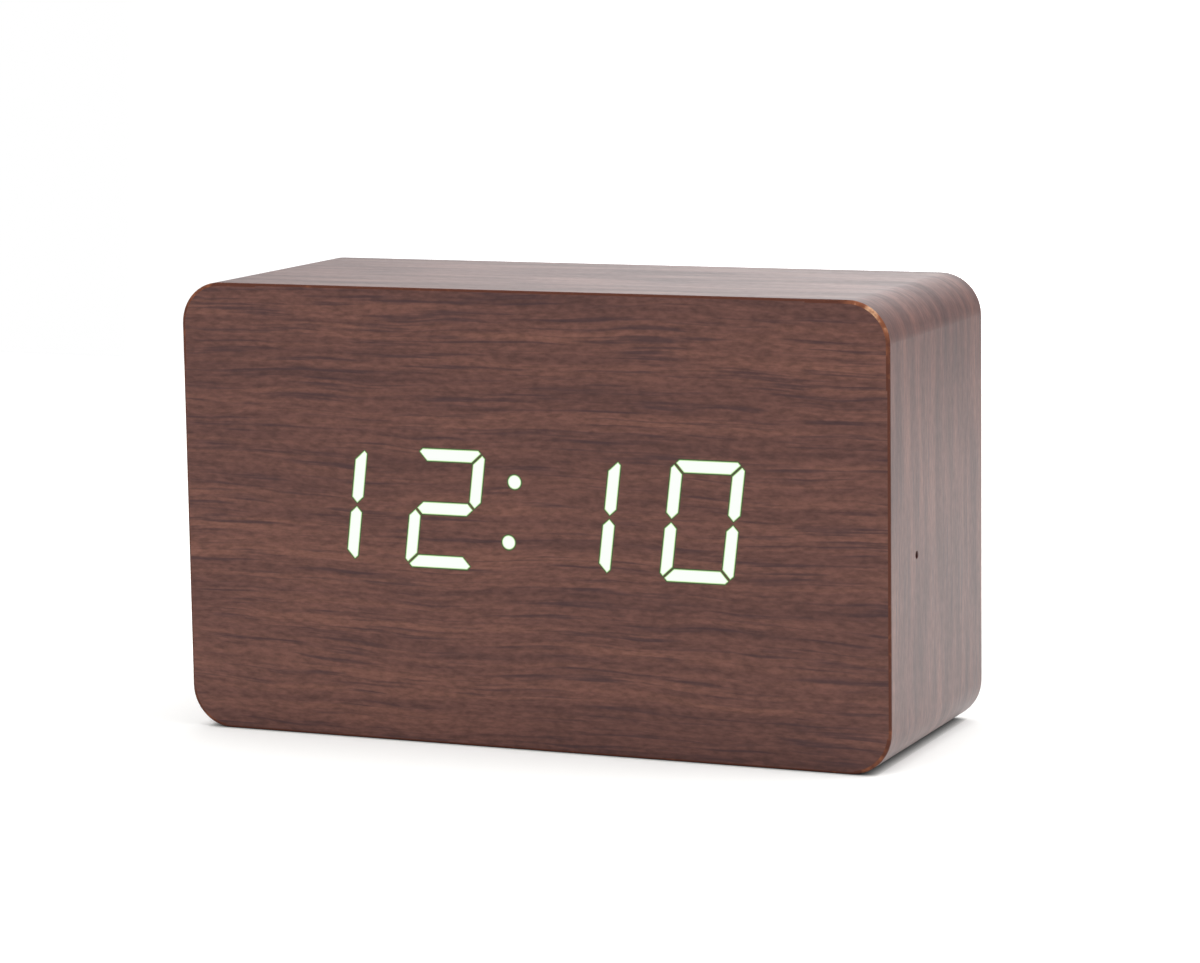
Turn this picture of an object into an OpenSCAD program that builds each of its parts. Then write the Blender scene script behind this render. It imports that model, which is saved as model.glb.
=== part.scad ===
// Wooden digital alarm clock: a fibreboard block wrapped in walnut veneer, with digits lit from behind.
// Millimetres. The origin is under the middle of the base, +X to the right of the front, +Y to the back.

/* [Case] */
// Overall width, across the front
case_w = 100; // [98:1:130]
// Overall depth, from the front to the rear rim
case_d = 38; // [37:0.5:60]
// Overall height
case_h = 60.5; // [58:0.5:90]
// Radius of the four long edges, seen from the front
corner_r = 5.6; // [5:0.1:8]
// Thickness of the fibreboard side walls
wall_t = 4; // [3.4:0.1:5]
// Thickness of the fibreboard front wall
front_t = 3; // [2.6:0.1:4]
// Thickness of the walnut veneer
veneer_t = 0.4; // [0.3:0.05:0.6]
// Gap at the two seams of the base veneer
seam_gap = 0.1; // [0.05:0.05:0.3]
// Width of the square corner posts that take the back screws
post_w = 7; // [6.5:0.1:8]

/* [Back panel] */
// Thickness of the fibreboard back
back_t = 2.6; // [2.4:0.1:3.4]
// Depth of the back panel below the rear rim
back_recess = 1.2; // [1.1:0.1:2]
// Width of the step that the back panel rests on
rabbet_w = 1.8; // [1.2:0.1:2.4]
// Gap round the back panel
panel_gap = 0.2; // [0.1:0.05:0.4]
// Shank diameter of the back screws
screw_d = 2.2; // [1.8:0.1:2.6]
// Head diameter of the back screws
screw_head_d = 4.4; // [3.6:0.1:5]
// Length of the back screws
screw_l = 10; // [7:0.5:14]

/* [Digits] */
// Hours shown
hours_shown = 12; // [0:1:23]
// Minutes shown
minutes_shown = 10; // [0:1:59]
// Height of a digit
digit_h = 15.8; // [12:0.1:18]
// Width of a digit
digit_w = 10.1; // [8:0.1:11]
// Stroke width of a segment
segment_t = 1.6; // [1.2:0.1:2]
// Gap between neighbouring segments
segment_gap = 0.35; // [0.2:0.05:0.6]
// Depth of the cut across a segment's outer tip
segment_tip = 0.4; // [0.2:0.05:0.6]
// Lean of the digits, in degrees from upright
digit_lean = 7; // [0:0.5:12]
// Distance between the two digits of a pair
digit_pitch = 17.1; // [14:0.1:19]
// Distance between the two digits beside the colon
colon_pitch = 19.2; // [17:0.1:22]
// Diameter of a colon dot
dot_d = 1.85; // [1.85:0.05:2.6]
// Distance between the colon dots
dot_rise = 8; // [6:0.1:10]
// Place of the display, to the right of the middle of the case
display_x = -2; // [-3:0.1:3]
// Height of the display above the middle of the case
display_rise = 1.25; // [-2:0.05:2]

/* [Display parts] */
// Thickness of the mask film
mask_t = 0.2; // [0.1:0.05:0.3]
// Rim of the light box round the digits
nose_margin = 1.6; // [1:0.1:2]
// Gap between the light box and its window
nose_gap = 0.15; // [0.1:0.05:0.25]
// Thickness of the light box's flange
flange_t = 2.5; // [2:0.1:3.5]
// Rim of the flange and the board above and below the light box
board_lip = 5.5; // [5:0.1:6.5]
// Gap between the display board and the side walls
board_side_gap = 2.4; // [1.5:0.1:4]
// Thickness of the circuit boards
board_t = 1.6; // [1:0.1:2]
// Distance of a board screw from the board's edges
board_screw_inset = 3; // [2.8:0.1:3.4]
// Depth of the board screws in the fibreboard
board_screw_bite = 2; // [1.4:0.1:2.2]
// Shank diameter of the board screws
board_screw_d = 1.8; // [1.6:0.1:2]
// Head diameter of the board screws
board_screw_head_d = 3.6; // [3:0.1:4]
// Head height of the board screws
board_screw_head_h = 1.3; // [1:0.1:1.6]
// Length, height and width of a segment LED
led_size = [1.6, 0.6, 0.8]; // [0.4:0.1:1.8]
// Air between the display board and the light bars
led_room = 1; // [0.8:0.1:1.6]
// Diameter of the coin cell
coin_d = 20; // [12:0.5:20]
// Thickness of the coin cell
coin_t = 3.2; // [1.6:0.1:3.2]
// Wall of the coin cell holder
coin_wall = 1.4; // [1:0.1:2]

/* [Buttons] */
// Diameter of a button
button_d = 5.6; // [4.5:0.1:6]
// Distance between buttons
button_pitch = 8; // [7.8:0.1:8.6]
// Height of a button above the back panel
button_proud = 0.8; // [0.2:0.1:1]
// Travel of a button
button_travel = 0.5; // [0.3:0.05:0.8]
// Gap round a button
button_gap = 0.15; // [0.1:0.05:0.3]
// Width of the collar that keeps a button in
collar_w = 0.8; // [0.6:0.1:0.9]
// Thickness of that collar
collar_t = 1; // [0.8:0.1:1.4]
// Share of the control column's free height that is above the key board
key_share = 0.4; // [0.1:0.05:0.5]
// Edge length of a switch body
switch_w = 6; // [5:0.1:6.4]
// Height of a switch body
switch_h = 3.5; // [3:0.1:4]
// Diameter of a switch plunger
plunger_d = 3.5; // [2.5:0.1:4]
// Length of a plunger above its switch body
plunger_rise = 1.5; // [1.2:0.1:2]
// Length of a plunger inside its switch body
plunger_depth = 1; // [0.6:0.1:1.4]
// Width of the key board
key_w = 12; // [11.6:0.1:12.4]
// Diameter of a spacer of the key board
spacer_d = 4.4; // [3.6:0.1:4.8]
// Diameter of the buzzer
buzzer_d = 11; // [9:0.1:11.4]
// Height of the buzzer
buzzer_h = 6; // [4:0.1:7]

/* [Battery bay] */
// Diameter of a cell
cell_d = 10.5; // [10:0.1:10.7]
// Length of a cell with its nub
cell_l = 44.5; // [43:0.1:45]
// Distance between cells
cell_pitch = 11; // [10.8:0.1:11.6]
// Room round the cells
cell_room = 0.3; // [0.2:0.05:0.6]
// Length of the contact springs, pressed
spring_l = 4.4; // [3.8:0.1:5]
// Wire diameter of the contact springs
spring_wire_d = 0.5; // [0.4:0.05:0.6]
// Turns of a contact spring
spring_turns = 3.5; // [2:0.5:3.5]
// Thickness of the contact plates
plate_t = 0.4; // [0.3:0.05:0.6]
// Wall of the bay
bay_wall = 1.6; // [1.5:0.1:2]
// Width of the bay's flange beyond its wall
bay_flange_w = 2; // [1.5:0.1:2.2]
// Thickness of the bay's flange
bay_flange_t = 1.2; // [0.8:0.1:1.6]
// Thickness of the door
door_t = 1.5; // [1.3:0.1:1.8]
// Gap round the door
door_gap = 0.2; // [0.15:0.05:0.3]
// Width of the ledge under the door's rim
door_ledge = 0.7; // [0.5:0.05:0.8]
// Width of the two hooks on the door's lower edge
hook_w = 6; // [4:0.5:10]
// Width of the snap tongue on the door's upper edge
tongue_w = 14; // [10:0.5:20]

/* [Power inlet] */
// Bore that takes the plug
plug_bore_d = 3.6; // [3.5:0.05:3.8]
// Depth of that bore
plug_bore_l = 2.5; // [2:0.1:3]
// Diameter of the centre pin
jack_pin_d = 1.3; // [1:0.05:1.5]
// Diameter of the jack's barrel
barrel_d = 7.8; // [7:0.1:8.2]
// Diameter of the jack's rim on the back panel
jack_rim_d = 10; // [9.4:0.1:11]
// Thickness of that rim
jack_rim_t = 0.9; // [0.5:0.1:1.1]
// Width across the flats of the jack's nut
nut_w = 10; // [9.6:0.1:10.4]
// Thickness of the nut
nut_t = 2; // [1.5:0.1:2.5]
// Thickness of the washer under the nut
washer_t = 0.5; // [0.3:0.1:0.8]
// Share of the control column's free height that is below the jack
jack_share = 0.3; // [0.1:0.05:0.5]

/* [Microphone] */
// Diameter of the sound port
port_d = 1; // [0.6:0.1:1.6]
// Distance of the port behind the front
port_y = 10.5; // [10:0.5:13]
// Height of the port above the base
port_z = 26.9; // [24:0.1:34]
// Thickness of the wall that the port goes through
port_wall = 1.1; // [0.8:0.1:1.6]
// Diameter of the microphone capsule
mic_d = 6; // [4:0.1:6.4]
// Height of the microphone capsule
mic_h = 2.7; // [2:0.1:3]
// Wall of the rubber boot
boot_t = 0.6; // [0.4:0.1:0.8]

/* [Wiring] */
// Diameter of the battery and jack leads
lead_d = 1.1; // [0.8:0.1:1.2]
// Diameter of the microphone leads
thin_lead_d = 0.7; // [0.5:0.1:0.8]
// Width of the link ribbon
ribbon_w = 8.8; // [6:0.1:9.6]
// Thickness of the link ribbon
ribbon_t = 0.9; // [0.5:0.1:1.2]
// Width of the ribbon's sockets and plugs
socket_w = 11; // [10:0.1:11.4]
// Depth of a socket, along the case's height
socket_d = 4.5; // [3.5:0.1:5]
// Height of a socket above its board
socket_h = 4; // [3:0.1:4.5]
// Height of a plug above its socket
plug_h = 1.6; // [1:0.1:2.2]

/* [Hidden] */
$fn = 48;

// How far a cut runs past a face, and a joined shape into its neighbour
bite = 0.5;
// Radial clearance of pieces that fit closely
slip = 0.05;
// Gap of pieces that touch on the real clock without being fixed
touch_gap = 0.05;

// Levels along the depth of the case
y_front = -case_d / 2;
y_back = case_d / 2;
face_y = y_front + veneer_t;
cavity_y = face_y + front_t;
panel_out_y = y_back - back_recess;
panel_mid_y = panel_out_y - veneer_t;
panel_in_y = panel_mid_y - back_t;

// Outlines of the case, seen from the front
mid_z = case_h / 2;
core_w = case_w - 2 * veneer_t;
core_h = case_h - 2 * veneer_t;
core_r = corner_r - veneer_t;
cavity_w = core_w - 2 * wall_t;
cavity_h = core_h - 2 * wall_t;
cavity_r = max(core_r - wall_t, 1);
rabbet_x = cavity_w + 2 * rabbet_w;
rabbet_z = cavity_h + 2 * rabbet_w;
rabbet_r = max(core_r - wall_t + rabbet_w, 1);
panel_w = rabbet_x - 2 * panel_gap;
panel_h = rabbet_z - 2 * panel_gap;
panel_r = rabbet_r - panel_gap;
post_x = cavity_w / 2 - post_w / 2;
post_z = cavity_h / 2 - post_w / 2;
post_sites = [for (x = [-1, 1], z = [-1, 1]) [x * post_x, mid_z + z * post_z]];
base_w = case_w - 2 * corner_r;

// Display stack
display_z = mid_z + display_rise;
mask_y = face_y + mask_t;
board_y = cavity_y + flange_t;
board_back_y = board_y + board_t;
lean = tan(digit_lean);
nose_w = 2 * digit_pitch + colon_pitch + digit_w + digit_h * lean + 2 * nose_margin;
nose_h = digit_h + 2 * nose_margin;
nose_r = 1;
board_w = cavity_w - 2 * board_side_gap;
board_h = nose_h + 2 * board_lip;
board_r = 1;
board_screw_sites = [
  for (x = [-1, 1], z = [-1, 1])
    [x * (board_w / 2 - board_screw_inset), display_z + z * (board_h / 2 - board_screw_inset)]
];
digit_xs = [for (k = [-1.5:1.5]) display_x + sign(k) * (colon_pitch / 2 + (abs(k) - 0.5) * digit_pitch)];
digits_shown = [floor(hours_shown / 10), hours_shown % 10, floor(minutes_shown / 10), minutes_shown % 10];
// Letters of the segments: a on top, then clockwise to f, with g across the middle
SEGMENTS = "abcdefg";
LIT = ["abcdef", "bc", "abged", "abgcd", "fgbc", "afgcd", "afgedc", "abc", "abcdefg", "abcdfg"];

// Control column, beside the posts of the right wall: the jack below and the key board above
column_gap = 0.5;
control_x = cavity_w / 2 - post_w - column_gap - key_w / 2;
collar_d = button_d + 2 * collar_w;
key_edge = 0.4;
key_screw_z = button_pitch + max(switch_w, collar_d) / 2 + spacer_d / 2 + key_edge;
key_h = 2 * (key_screw_z + key_edge) + spacer_d;
column_room = cavity_h - key_h - nut_w;
jack_z = mid_z - cavity_h / 2 + jack_share * column_room + nut_w / 2;
key_z = mid_z + cavity_h / 2 - key_share * column_room - key_h / 2;

// Battery bay, midway between the left wall and the key board
bay_in_w = cell_l + spring_l + 2 * plate_t + touch_gap;
bay_in_h = 2 * cell_pitch + cell_d + 2 * cell_room;
bay_in_r = 1;
bay_w = bay_in_w + 2 * bay_wall;
bay_h = bay_in_h + 2 * bay_wall;
bay_r = bay_in_r + bay_wall;
bay_flange_r = bay_r + bay_flange_w;
bay_x = (control_x - key_w / 2 - cavity_w / 2) / 2;
door_w = bay_in_w + 2 * door_ledge;
door_h = bay_in_h + 2 * door_ledge;
door_r = bay_in_r + door_ledge;
door_y = panel_out_y - door_t;
seat_y = door_y - 2 * touch_gap;
cell_y = seat_y - cell_room - cell_d / 2;
floor_y = cell_y - cell_d / 2 - cell_room;
bay_back_y = floor_y - bay_wall;
bay_left = bay_x - bay_in_w / 2;
bay_right = bay_x + bay_in_w / 2;
row_zs = [for (k = [-1:1]) mid_z + k * cell_pitch];
nub_d = 3.8;
nub_l = 1;
contact_w = 8;
tag_w = 3;
tag_l = 2.5;
rib_w = 1.2;
rib_h = 2.8;
rib_l = 30;
spring_base_d = 7.5;
spring_tip_d = 5;
spring_sides = 6;
spring_steps = 8;
hook_x = door_w / 4;
hook_t = 1;
hook_reach = 0.8;
hook_root = 2;
door_bottom = mid_z - door_h / 2;
door_top = mid_z + door_h / 2;
tongue_slot_w = 0.8;
tongue_slot_l = 8;
tongue_nose = 0.1;
scoop_r = 14;
scoop_depth = 0.6;
grip_w = 0.8;
grip_gap = 1.8;

// Keys
button_zs = [for (k = [1:-1:-1]) key_z + k * button_pitch];
cap_back_y = panel_in_y - 2 * touch_gap - collar_t;
key_y = cap_back_y - plunger_rise - switch_h;
key_back_y = key_y - board_t;
key_screw_sites = [for (z = [-1, 1]) [control_x, key_z + z * key_screw_z]];
button_edge = 0.3;
mark_depth = 0.15;
mark_r = 1.3;
buzzer_hole_d = 2;
buzzer_z = key_z + buzzer_d / 2;
socket_gap = 1.5;
key_socket_z = key_z - socket_d / 2 - socket_gap;
pad_rise = 2.2;
pad_z = key_z - key_h / 2 + spacer_d + pad_rise;
pad_pitch = 3;

// Power inlet
jack_face_y = panel_out_y + jack_rim_t;
chamber_y = jack_face_y - plug_bore_l;
chamber_step = 0.4;
chamber_d = plug_bore_d + 2 * chamber_step;
chamber_l = 8;
chamber_floor_y = chamber_y - chamber_l;
jack_rear_t = 1.5;
jack_back_y = chamber_floor_y - jack_rear_t;
washer_step = 0.25;
jack_tail = 3;
pin_setback = 0.6;
contact_strip_w = 1.6;
contact_strip_t = 0.3;
contact_strip_z = jack_z - plug_bore_d / 2 - contact_strip_t;

// Microphone, in the right wall
mic_y = y_front + port_y;
mic_floor_x = core_w / 2 - port_wall;
mic_back_x = mic_floor_x - mic_h;

// Leads: straight ends at a tag and at a pad, depth of the bends behind them, and width of a bend
lead_stub = 1;
lead_drop = 3;
pad_stub = 1.5;
pad_drop = 4;
lead_bend = 2.5;
sleeve_lead_aside = 3;
mic_lead_pitch = 2;
mic_lead_stub = 0.8;
mic_lead_bend = 0.6;
mic_pad_inset = 2;

// Parts on the back of the display board: width, height above the board and depth
controller_size = [12.8, 2.3, 7.5];
controller_pairs = 10;
driver_size = [17.9, 2.3, 7.5];
driver_pairs = 14;
leg_size = [0.4, 0.3, 1.2];
leg_pitch = 1.27;
resistor_size = [1.2, 0.5, 2];
resistor_count = 6;
capacitor_size = [1.6, 1, 2];
capacitor_count = 3;
crystal_d = 2;
crystal_l = 6;
can_d = 5;
can_h = 5.4;
can_foot_w = 5.3;
can_foot_h = 1;
coin_floor_t = 0.8;
socket_wall = 0.7;
// Width of a cross recess, as a share of its screw head
recess_share = 0.6;

// Places of those parts, from the board's middle
coin_edge = 4.75;
coin_at = [coin_d / 2 + coin_wall + slip + coin_edge - board_w / 2, 0];
driver_at = [3, 8];
controller_at = [2, -6];
crystal_at = [-10, -7];
reservoir_at = [17, -7];
resistor_row = [-6, 1.4, 2.8];
capacitor_row = [13, 2, 3.2];
socket_at = [control_x, 3];
display_socket_z = display_z + socket_at[1];

function letter_index(letter) = search(letter, SEGMENTS)[0];
function is_lit(digit, letter) = len(search(letter, LIT[digit])) > 0;
function leaning(p) = [p[0] + p[1] * lean, p[1]];
function mirrored(points, u, v) = [for (p = points) [u * p[0], v * p[1]]];

// Outline of one segment about its digit's middle, drawn in by a margin all round
function segment_outline(letter, margin) =
  let (
    w = digit_w / 2 - margin,
    h = digit_h / 2 - margin,
    t = segment_t - 2 * margin,
    s = (segment_gap + 2 * margin) * cos(45),
    k = segment_tip,
    bar = [
      [t + s - w, h - t], [k + s - w, h - k], [2 * k + s - w, h],
      [w - s - 2 * k, h], [w - s - k, h - k], [w - s - t, h - t]
    ],
    post = [
      [w - t, h - t - s], [w - k, h - s - k], [w, h - s - 2 * k],
      [w, s + t / 2], [w - t / 2, s], [w - t, s + t / 2]
    ],
    middle = [
      [t / 2 + s - w, 0], [t + s - w, t / 2], [w - t - s, t / 2],
      [w - t / 2 - s, 0], [w - t - s, -t / 2], [t + s - w, -t / 2]
    ],
    shapes = [
      bar, post, mirrored(post, 1, -1), mirrored(bar, 1, -1),
      mirrored(post, -1, -1), mirrored(post, -1, 1), middle
    ]
  )
  [for (p = shapes[letter_index(letter)]) leaning(p)];

// Middle of one segment and the turn of its LED
function segment_middle(letter) =
  let (
    w = digit_w / 2 - segment_t / 2,
    h = digit_h / 2 - segment_t / 2,
    places = [[0, h], [w, h / 2], [w, -h / 2], [0, -h], [-w, -h / 2], [-w, h / 2], [0, 0]]
  )
  leaning(places[letter_index(letter)]);
function led_turn(letter) = len(search(letter, "adg")) > 0 ? 0 : 90 + digit_lean;
dot_sites = [
  for (k = [-1, 1]) [display_x + k * dot_rise / 2 * lean, display_z + k * dot_rise / 2]
];

// Route through a list of points: straight at both ends, and smooth between, in a few steps a piece
function route(points, steps = 4) =
  let (last = len(points) - 1)
  concat(
    [points[0]],
    [
      for (i = [1:last - 2], k = [0:steps - 1])
        let (
          t = k / steps,
          p0 = points[i - 1],
          p1 = points[i],
          p2 = points[i + 1],
          p3 = points[i + 2]
        )
        0.5 * (2 * p1 + t * (p2 - p0) + t * t * (2 * p0 - 5 * p1 + 4 * p2 - p3)
          + t * t * t * (3 * p1 - 3 * p2 + p3 - p0))
    ],
    [points[last - 1], points[last]]
  );

function unit(v) = v / norm(v);
function headings(p) = [for (i = [0:len(p) - 1]) unit(p[min(i + 1, len(p) - 1)] - p[max(i - 1, 0)])];
function square_to(h) = unit(cross(h, abs(h[2]) < 0.9 ? [0, 0, 1] : [1, 0, 0]));
function carried(n, h) = unit(n - (n * h) * h);
function side_vectors(h, i = 0, n = undef) =
  i == len(h) ? [] :
  let (m = i == 0 ? square_to(h[0]) : carried(n, h[i]))
  concat([m], side_vectors(h, i + 1, m));

// Round tube along a list of points
module tube(points, d, sides = 8) {
  h = headings(points);
  n = side_vectors(h);
  last = len(points) - 1;
  rings = [
    for (i = [0:last], k = [0:sides - 1])
      let (a = 360 * k / sides)
      points[i] + d / 2 * (cos(a) * n[i] + sin(a) * cross(h[i], n[i]))
  ];
  walls = [
    for (i = [0:last - 1], k = [0:sides - 1])
      let (a = i * sides + k, b = i * sides + (k + 1) % sides)
      each [[a, b, b + sides], [a, b + sides, a + sides]]
  ];
  ends = [
    for (k = [1:sides - 2])
      each [[0, k + 1, k], [last * sides, last * sides + k, last * sides + k + 1]]
  ];
  polyhedron(points = rings, faces = [for (f = concat(walls, ends)) [f[2], f[1], f[0]]]);
}

// Tapered coil along +X from the origin
function coil_points(length) = [
  for (i = [0:spring_turns * spring_steps])
    let (
      t = i / (spring_turns * spring_steps),
      a = 360 * i / spring_steps,
      r = (spring_base_d + (spring_tip_d - spring_base_d) * t - spring_wire_d) / 2,
      x = spring_wire_d / 2 + touch_gap
    )
    [x + (length - 2 * x) * t, r * cos(a), r * sin(a)]
];
function least_gap(points) =
  min([
    for (i = [0:len(points) - 1], j = [i + spring_steps / 2:len(points) - 1])
      norm(points[i] - points[j])
  ]) - spring_wire_d;
echo(least_gap_between_spring_turns = least_gap(coil_points(spring_l)));

// Outline with round corners
module rounded(w, h, r) {
  square([w - 2 * r, h], center = true);
  square([w, h - 2 * r], center = true);
  for (x = [-1, 1], z = [-1, 1])
    translate([x * (w / 2 - r), z * (h / 2 - r)])
      circle(r);
}

// Upright slab from y0 to y1, with round corners seen from the front
module slab(w, h, r, y0, y1, x = 0, z = mid_z) {
  translate([x, y1, z])
    rotate([90, 0, 0])
      linear_extrude(y1 - y0)
        rounded(w, h, r);
}

// Upright prism from y0 to y1 over an outline seen from the front
module prism(points, y0, y1, x, z) {
  translate([x, y1, z])
    rotate([90, 0, 0])
      linear_extrude(y1 - y0)
        polygon(points);
}

// Round rod from y0 to y1, with its own diameter at each end
module rod(d, y0, y1, x, z, d_back = undef) {
  translate([x, y1, z])
    rotate([90, 0, 0])
      cylinder(d1 = is_undef(d_back) ? d : d_back, d2 = d, h = y1 - y0);
}

// Box between two corners
module box(from, to) {
  translate(from)
    cube(to - from);
}

// Cross recess of a screw head, cut into +Z from the origin
module cross_recess(head_d) {
  d = head_d * recess_share;
  arm = d / 4;
  depth = d / 3;
  for (a = [0, 90])
    rotate(a)
      translate([-d / 2, -arm / 2, -bite])
        cube([d, arm, bite + depth]);
}

// Pan head screw, its head below the origin and its shank up along +Z
module pan_screw(length) {
  difference() {
    union() {
      translate([0, 0, -board_screw_head_h])
        cylinder(d = board_screw_head_d, h = board_screw_head_h);
      cylinder(d = board_screw_d, h = length);
    }
    translate([0, 0, -board_screw_head_h])
      cross_recess(board_screw_head_d);
  }
}

// Every segment and dot of the display, or only the lit ones
module segments(margin, y0, y1, only_lit = false) {
  for (i = [0:3], letter = SEGMENTS)
    if (!only_lit || is_lit(digits_shown[i], letter))
      prism(segment_outline(letter, margin), y0, y1, digit_xs[i], display_z);
  for (p = dot_sites)
    rod(dot_d - 2 * margin, y0, y1, p[0], p[1]);
}

module microphone_cut(d, x0, x1) {
  translate([x0, mic_y, port_z])
    rotate([0, 90, 0])
      cylinder(d = d, h = x1 - x0);
}

// Case

module case_body() {
  color("burlywood")
    difference() {
      union() {
        difference() {
          slab(core_w, core_h, core_r, face_y, y_back - veneer_t);
          slab(cavity_w, cavity_h, cavity_r, cavity_y, y_back);
        }
        for (x = [-1, 1], z = [-1, 1])
          translate([
            x * (post_x + bite / 2),
            (cavity_y - bite + panel_in_y) / 2,
            mid_z + z * (post_z + bite / 2)
          ])
            cube([post_w + bite, panel_in_y - cavity_y + bite, post_w + bite], center = true);
      }
      slab(rabbet_x, rabbet_z, rabbet_r, panel_in_y, y_back);
      slab(
        nose_w + 2 * nose_gap, nose_h + 2 * nose_gap, nose_r,
        face_y - bite, cavity_y + bite, display_x, display_z
      );
      for (p = post_sites)
        rod(screw_d + 2 * slip, panel_out_y - screw_l - bite, panel_in_y + bite, p[0], p[1]);
      for (p = board_screw_sites)
        rod(board_screw_d + 2 * slip, cavity_y - board_screw_bite - slip, cavity_y + bite, p[0], p[1]);
      microphone_cut(mic_d + 2 * boot_t + 2 * slip, cavity_w / 2 - bite, mic_floor_x);
      microphone_cut(port_d, mic_floor_x - bite, core_w / 2 + bite);
    }
}

module wrap_veneer() {
  color("#6a4a44")
    difference() {
      slab(case_w, case_h, corner_r, face_y, y_back);
      slab(core_w, core_h, core_r, face_y - bite, y_back - veneer_t);
      slab(rabbet_x, rabbet_z, rabbet_r, y_back - veneer_t - bite, y_back + bite);
      box([-base_w / 2, face_y - bite, -bite], [base_w / 2, y_back + bite, veneer_t]);
      microphone_cut(port_d, core_w / 2 - bite, case_w / 2 + bite);
    }
}

module base_veneer() {
  color("#6a4a44")
    box([seam_gap - base_w / 2, face_y, 0], [base_w / 2 - seam_gap, y_back, veneer_t]);
}

module front_veneer() {
  color("#684a45")
    difference() {
      slab(case_w, case_h, corner_r, y_front, face_y);
      segments(0, y_front - bite, face_y + bite, true);
    }
}

module lit_segments() {
  color("#f6fff0")
    segments(0, y_front, face_y, true);
}

// Display

module segment_mask() {
  color("#141414")
    difference() {
      slab(nose_w, nose_h, nose_r, face_y, mask_y, display_x, display_z);
      segments(0, face_y - bite, mask_y + bite);
    }
}

module light_box() {
  color("#f0f0ec")
    difference() {
      union() {
        slab(nose_w, nose_h, nose_r, mask_y, cavity_y + bite, display_x, display_z);
        slab(board_w, board_h, board_r, cavity_y, board_y, 0, display_z);
      }
      segments(0, mask_y - bite, board_y + bite);
      for (p = board_screw_sites)
        rod(board_screw_d + 2 * slip, cavity_y - bite, board_y + bite, p[0], p[1]);
    }
}

module light_bars() {
  color("#f4f8ee")
    segments(touch_gap, mask_y, board_y - led_room);
}

module segment_leds() {
  color("#fff4c0") {
    for (i = [0:3], letter = SEGMENTS)
      let (c = segment_middle(letter))
        translate([digit_xs[i] + c[0], board_y - led_size[1] / 2, display_z + c[1]])
          rotate([0, led_turn(letter), 0])
            cube(led_size, center = true);
    for (p = dot_sites)
      translate([p[0], board_y - led_size[1] / 2, p[1]])
        cube(led_size, center = true);
  }
}

module display_board() {
  color("#1f5a34")
    difference() {
      slab(board_w, board_h, board_r, board_y, board_back_y, 0, display_z);
      for (p = board_screw_sites)
        rod(board_screw_d + 2 * slip, board_y - bite, board_back_y + bite, p[0], p[1]);
    }
}

module display_screws() {
  color("silver")
    for (p = board_screw_sites)
      translate([p[0], board_back_y, p[1]])
        rotate([90, 0, 0])
          pan_screw(board_t + flange_t + board_screw_bite);
}

// Moves a part to its place on the back of the display board, with its height along +Y
module on_board(at) {
  translate([at[0], board_back_y, display_z + at[1]])
    children();
}

// Flat chip with a row of legs along both long sides
module chip(size, pairs) {
  leg_z = size[2] / 2 + leg_size[2] / 2 - leg_size[1];
  translate([-size[0] / 2, leg_size[1] / 3, -size[2] / 2])
    cube(size);
  for (k = [0:pairs - 1], s = [-1, 1])
    translate([(k - (pairs - 1) / 2) * leg_pitch, leg_size[1] / 2, s * leg_z])
      cube(leg_size, center = true);
}

module microcontroller() {
  color("#202020")
    on_board(controller_at)
      chip(controller_size, controller_pairs);
}

module led_driver() {
  color("#202020")
    on_board(driver_at)
      chip(driver_size, driver_pairs);
}

module clock_crystal() {
  color("silver")
    on_board(crystal_at)
      translate([0, crystal_d / 2 + touch_gap, -crystal_l / 2])
        cylinder(d = crystal_d, h = crystal_l);
}

module reservoir_capacitor() {
  color("#b8bcc0")
    on_board(reservoir_at) {
      translate([-can_foot_w / 2, 0, -can_foot_w / 2])
        cube([can_foot_w, can_foot_h, can_foot_w]);
      rotate([-90, 0, 0])
        cylinder(d = can_d, h = can_h);
    }
}

// Row of small flat parts: first place across and up from the board's middle, then the step
module chip_row(row, count, size) {
  for (k = [0:count - 1])
    on_board([row[0] + k * row[2], row[1]])
      translate([-size[0] / 2, 0, -size[2] / 2])
        cube(size);
}

module chip_resistors() {
  color("#1a1a1a")
    chip_row(resistor_row, resistor_count, resistor_size);
}

module chip_capacitors() {
  color("#b09070")
    chip_row(capacitor_row, capacitor_count, capacitor_size);
}

module coin_cell_holder() {
  slot_w = coin_d / 2;
  color("#202020")
    on_board(coin_at)
      rotate([-90, 0, 0])
        difference() {
          cylinder(d = coin_d + 2 * coin_wall + 2 * slip, h = coin_floor_t + coin_t);
          translate([0, 0, coin_floor_t])
            cylinder(d = coin_d + 2 * slip, h = coin_t + bite);
          translate([-slot_w / 2, 0, coin_floor_t])
            cube([slot_w, coin_d, coin_t + bite]);
        }
}

module coin_cell() {
  color("silver")
    on_board(coin_at)
      rotate([-90, 0, 0])
        translate([0, 0, coin_floor_t])
          cylinder(d = coin_d, h = coin_t);
}

// Wiring between the boards

// Socket with its open end up along +Y
module socket() {
  difference() {
    translate([-socket_w / 2, 0, -socket_d / 2])
      cube([socket_w, socket_h, socket_d]);
    translate([socket_wall - socket_w / 2, socket_h / 2, socket_wall - socket_d / 2])
      cube([socket_w - 2 * socket_wall, socket_h, socket_d - 2 * socket_wall]);
  }
}

// Plug that fills the socket's open end and stands above it
module plug() {
  wall = socket_wall + slip;
  translate([wall - socket_w / 2, socket_h / 2, wall - socket_d / 2])
    cube([socket_w - 2 * wall, socket_h / 2 + plug_h, socket_d - 2 * wall]);
}

// Moves a part to the key board's inner face, with its height along -Y
module under_key_board(z) {
  translate([control_x, key_back_y, z])
    rotate([0, 0, 180])
      children();
}

module display_socket() {
  color("ivory")
    on_board(socket_at)
      socket();
}

module key_socket() {
  color("ivory")
    under_key_board(key_socket_z)
      socket();
}

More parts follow.
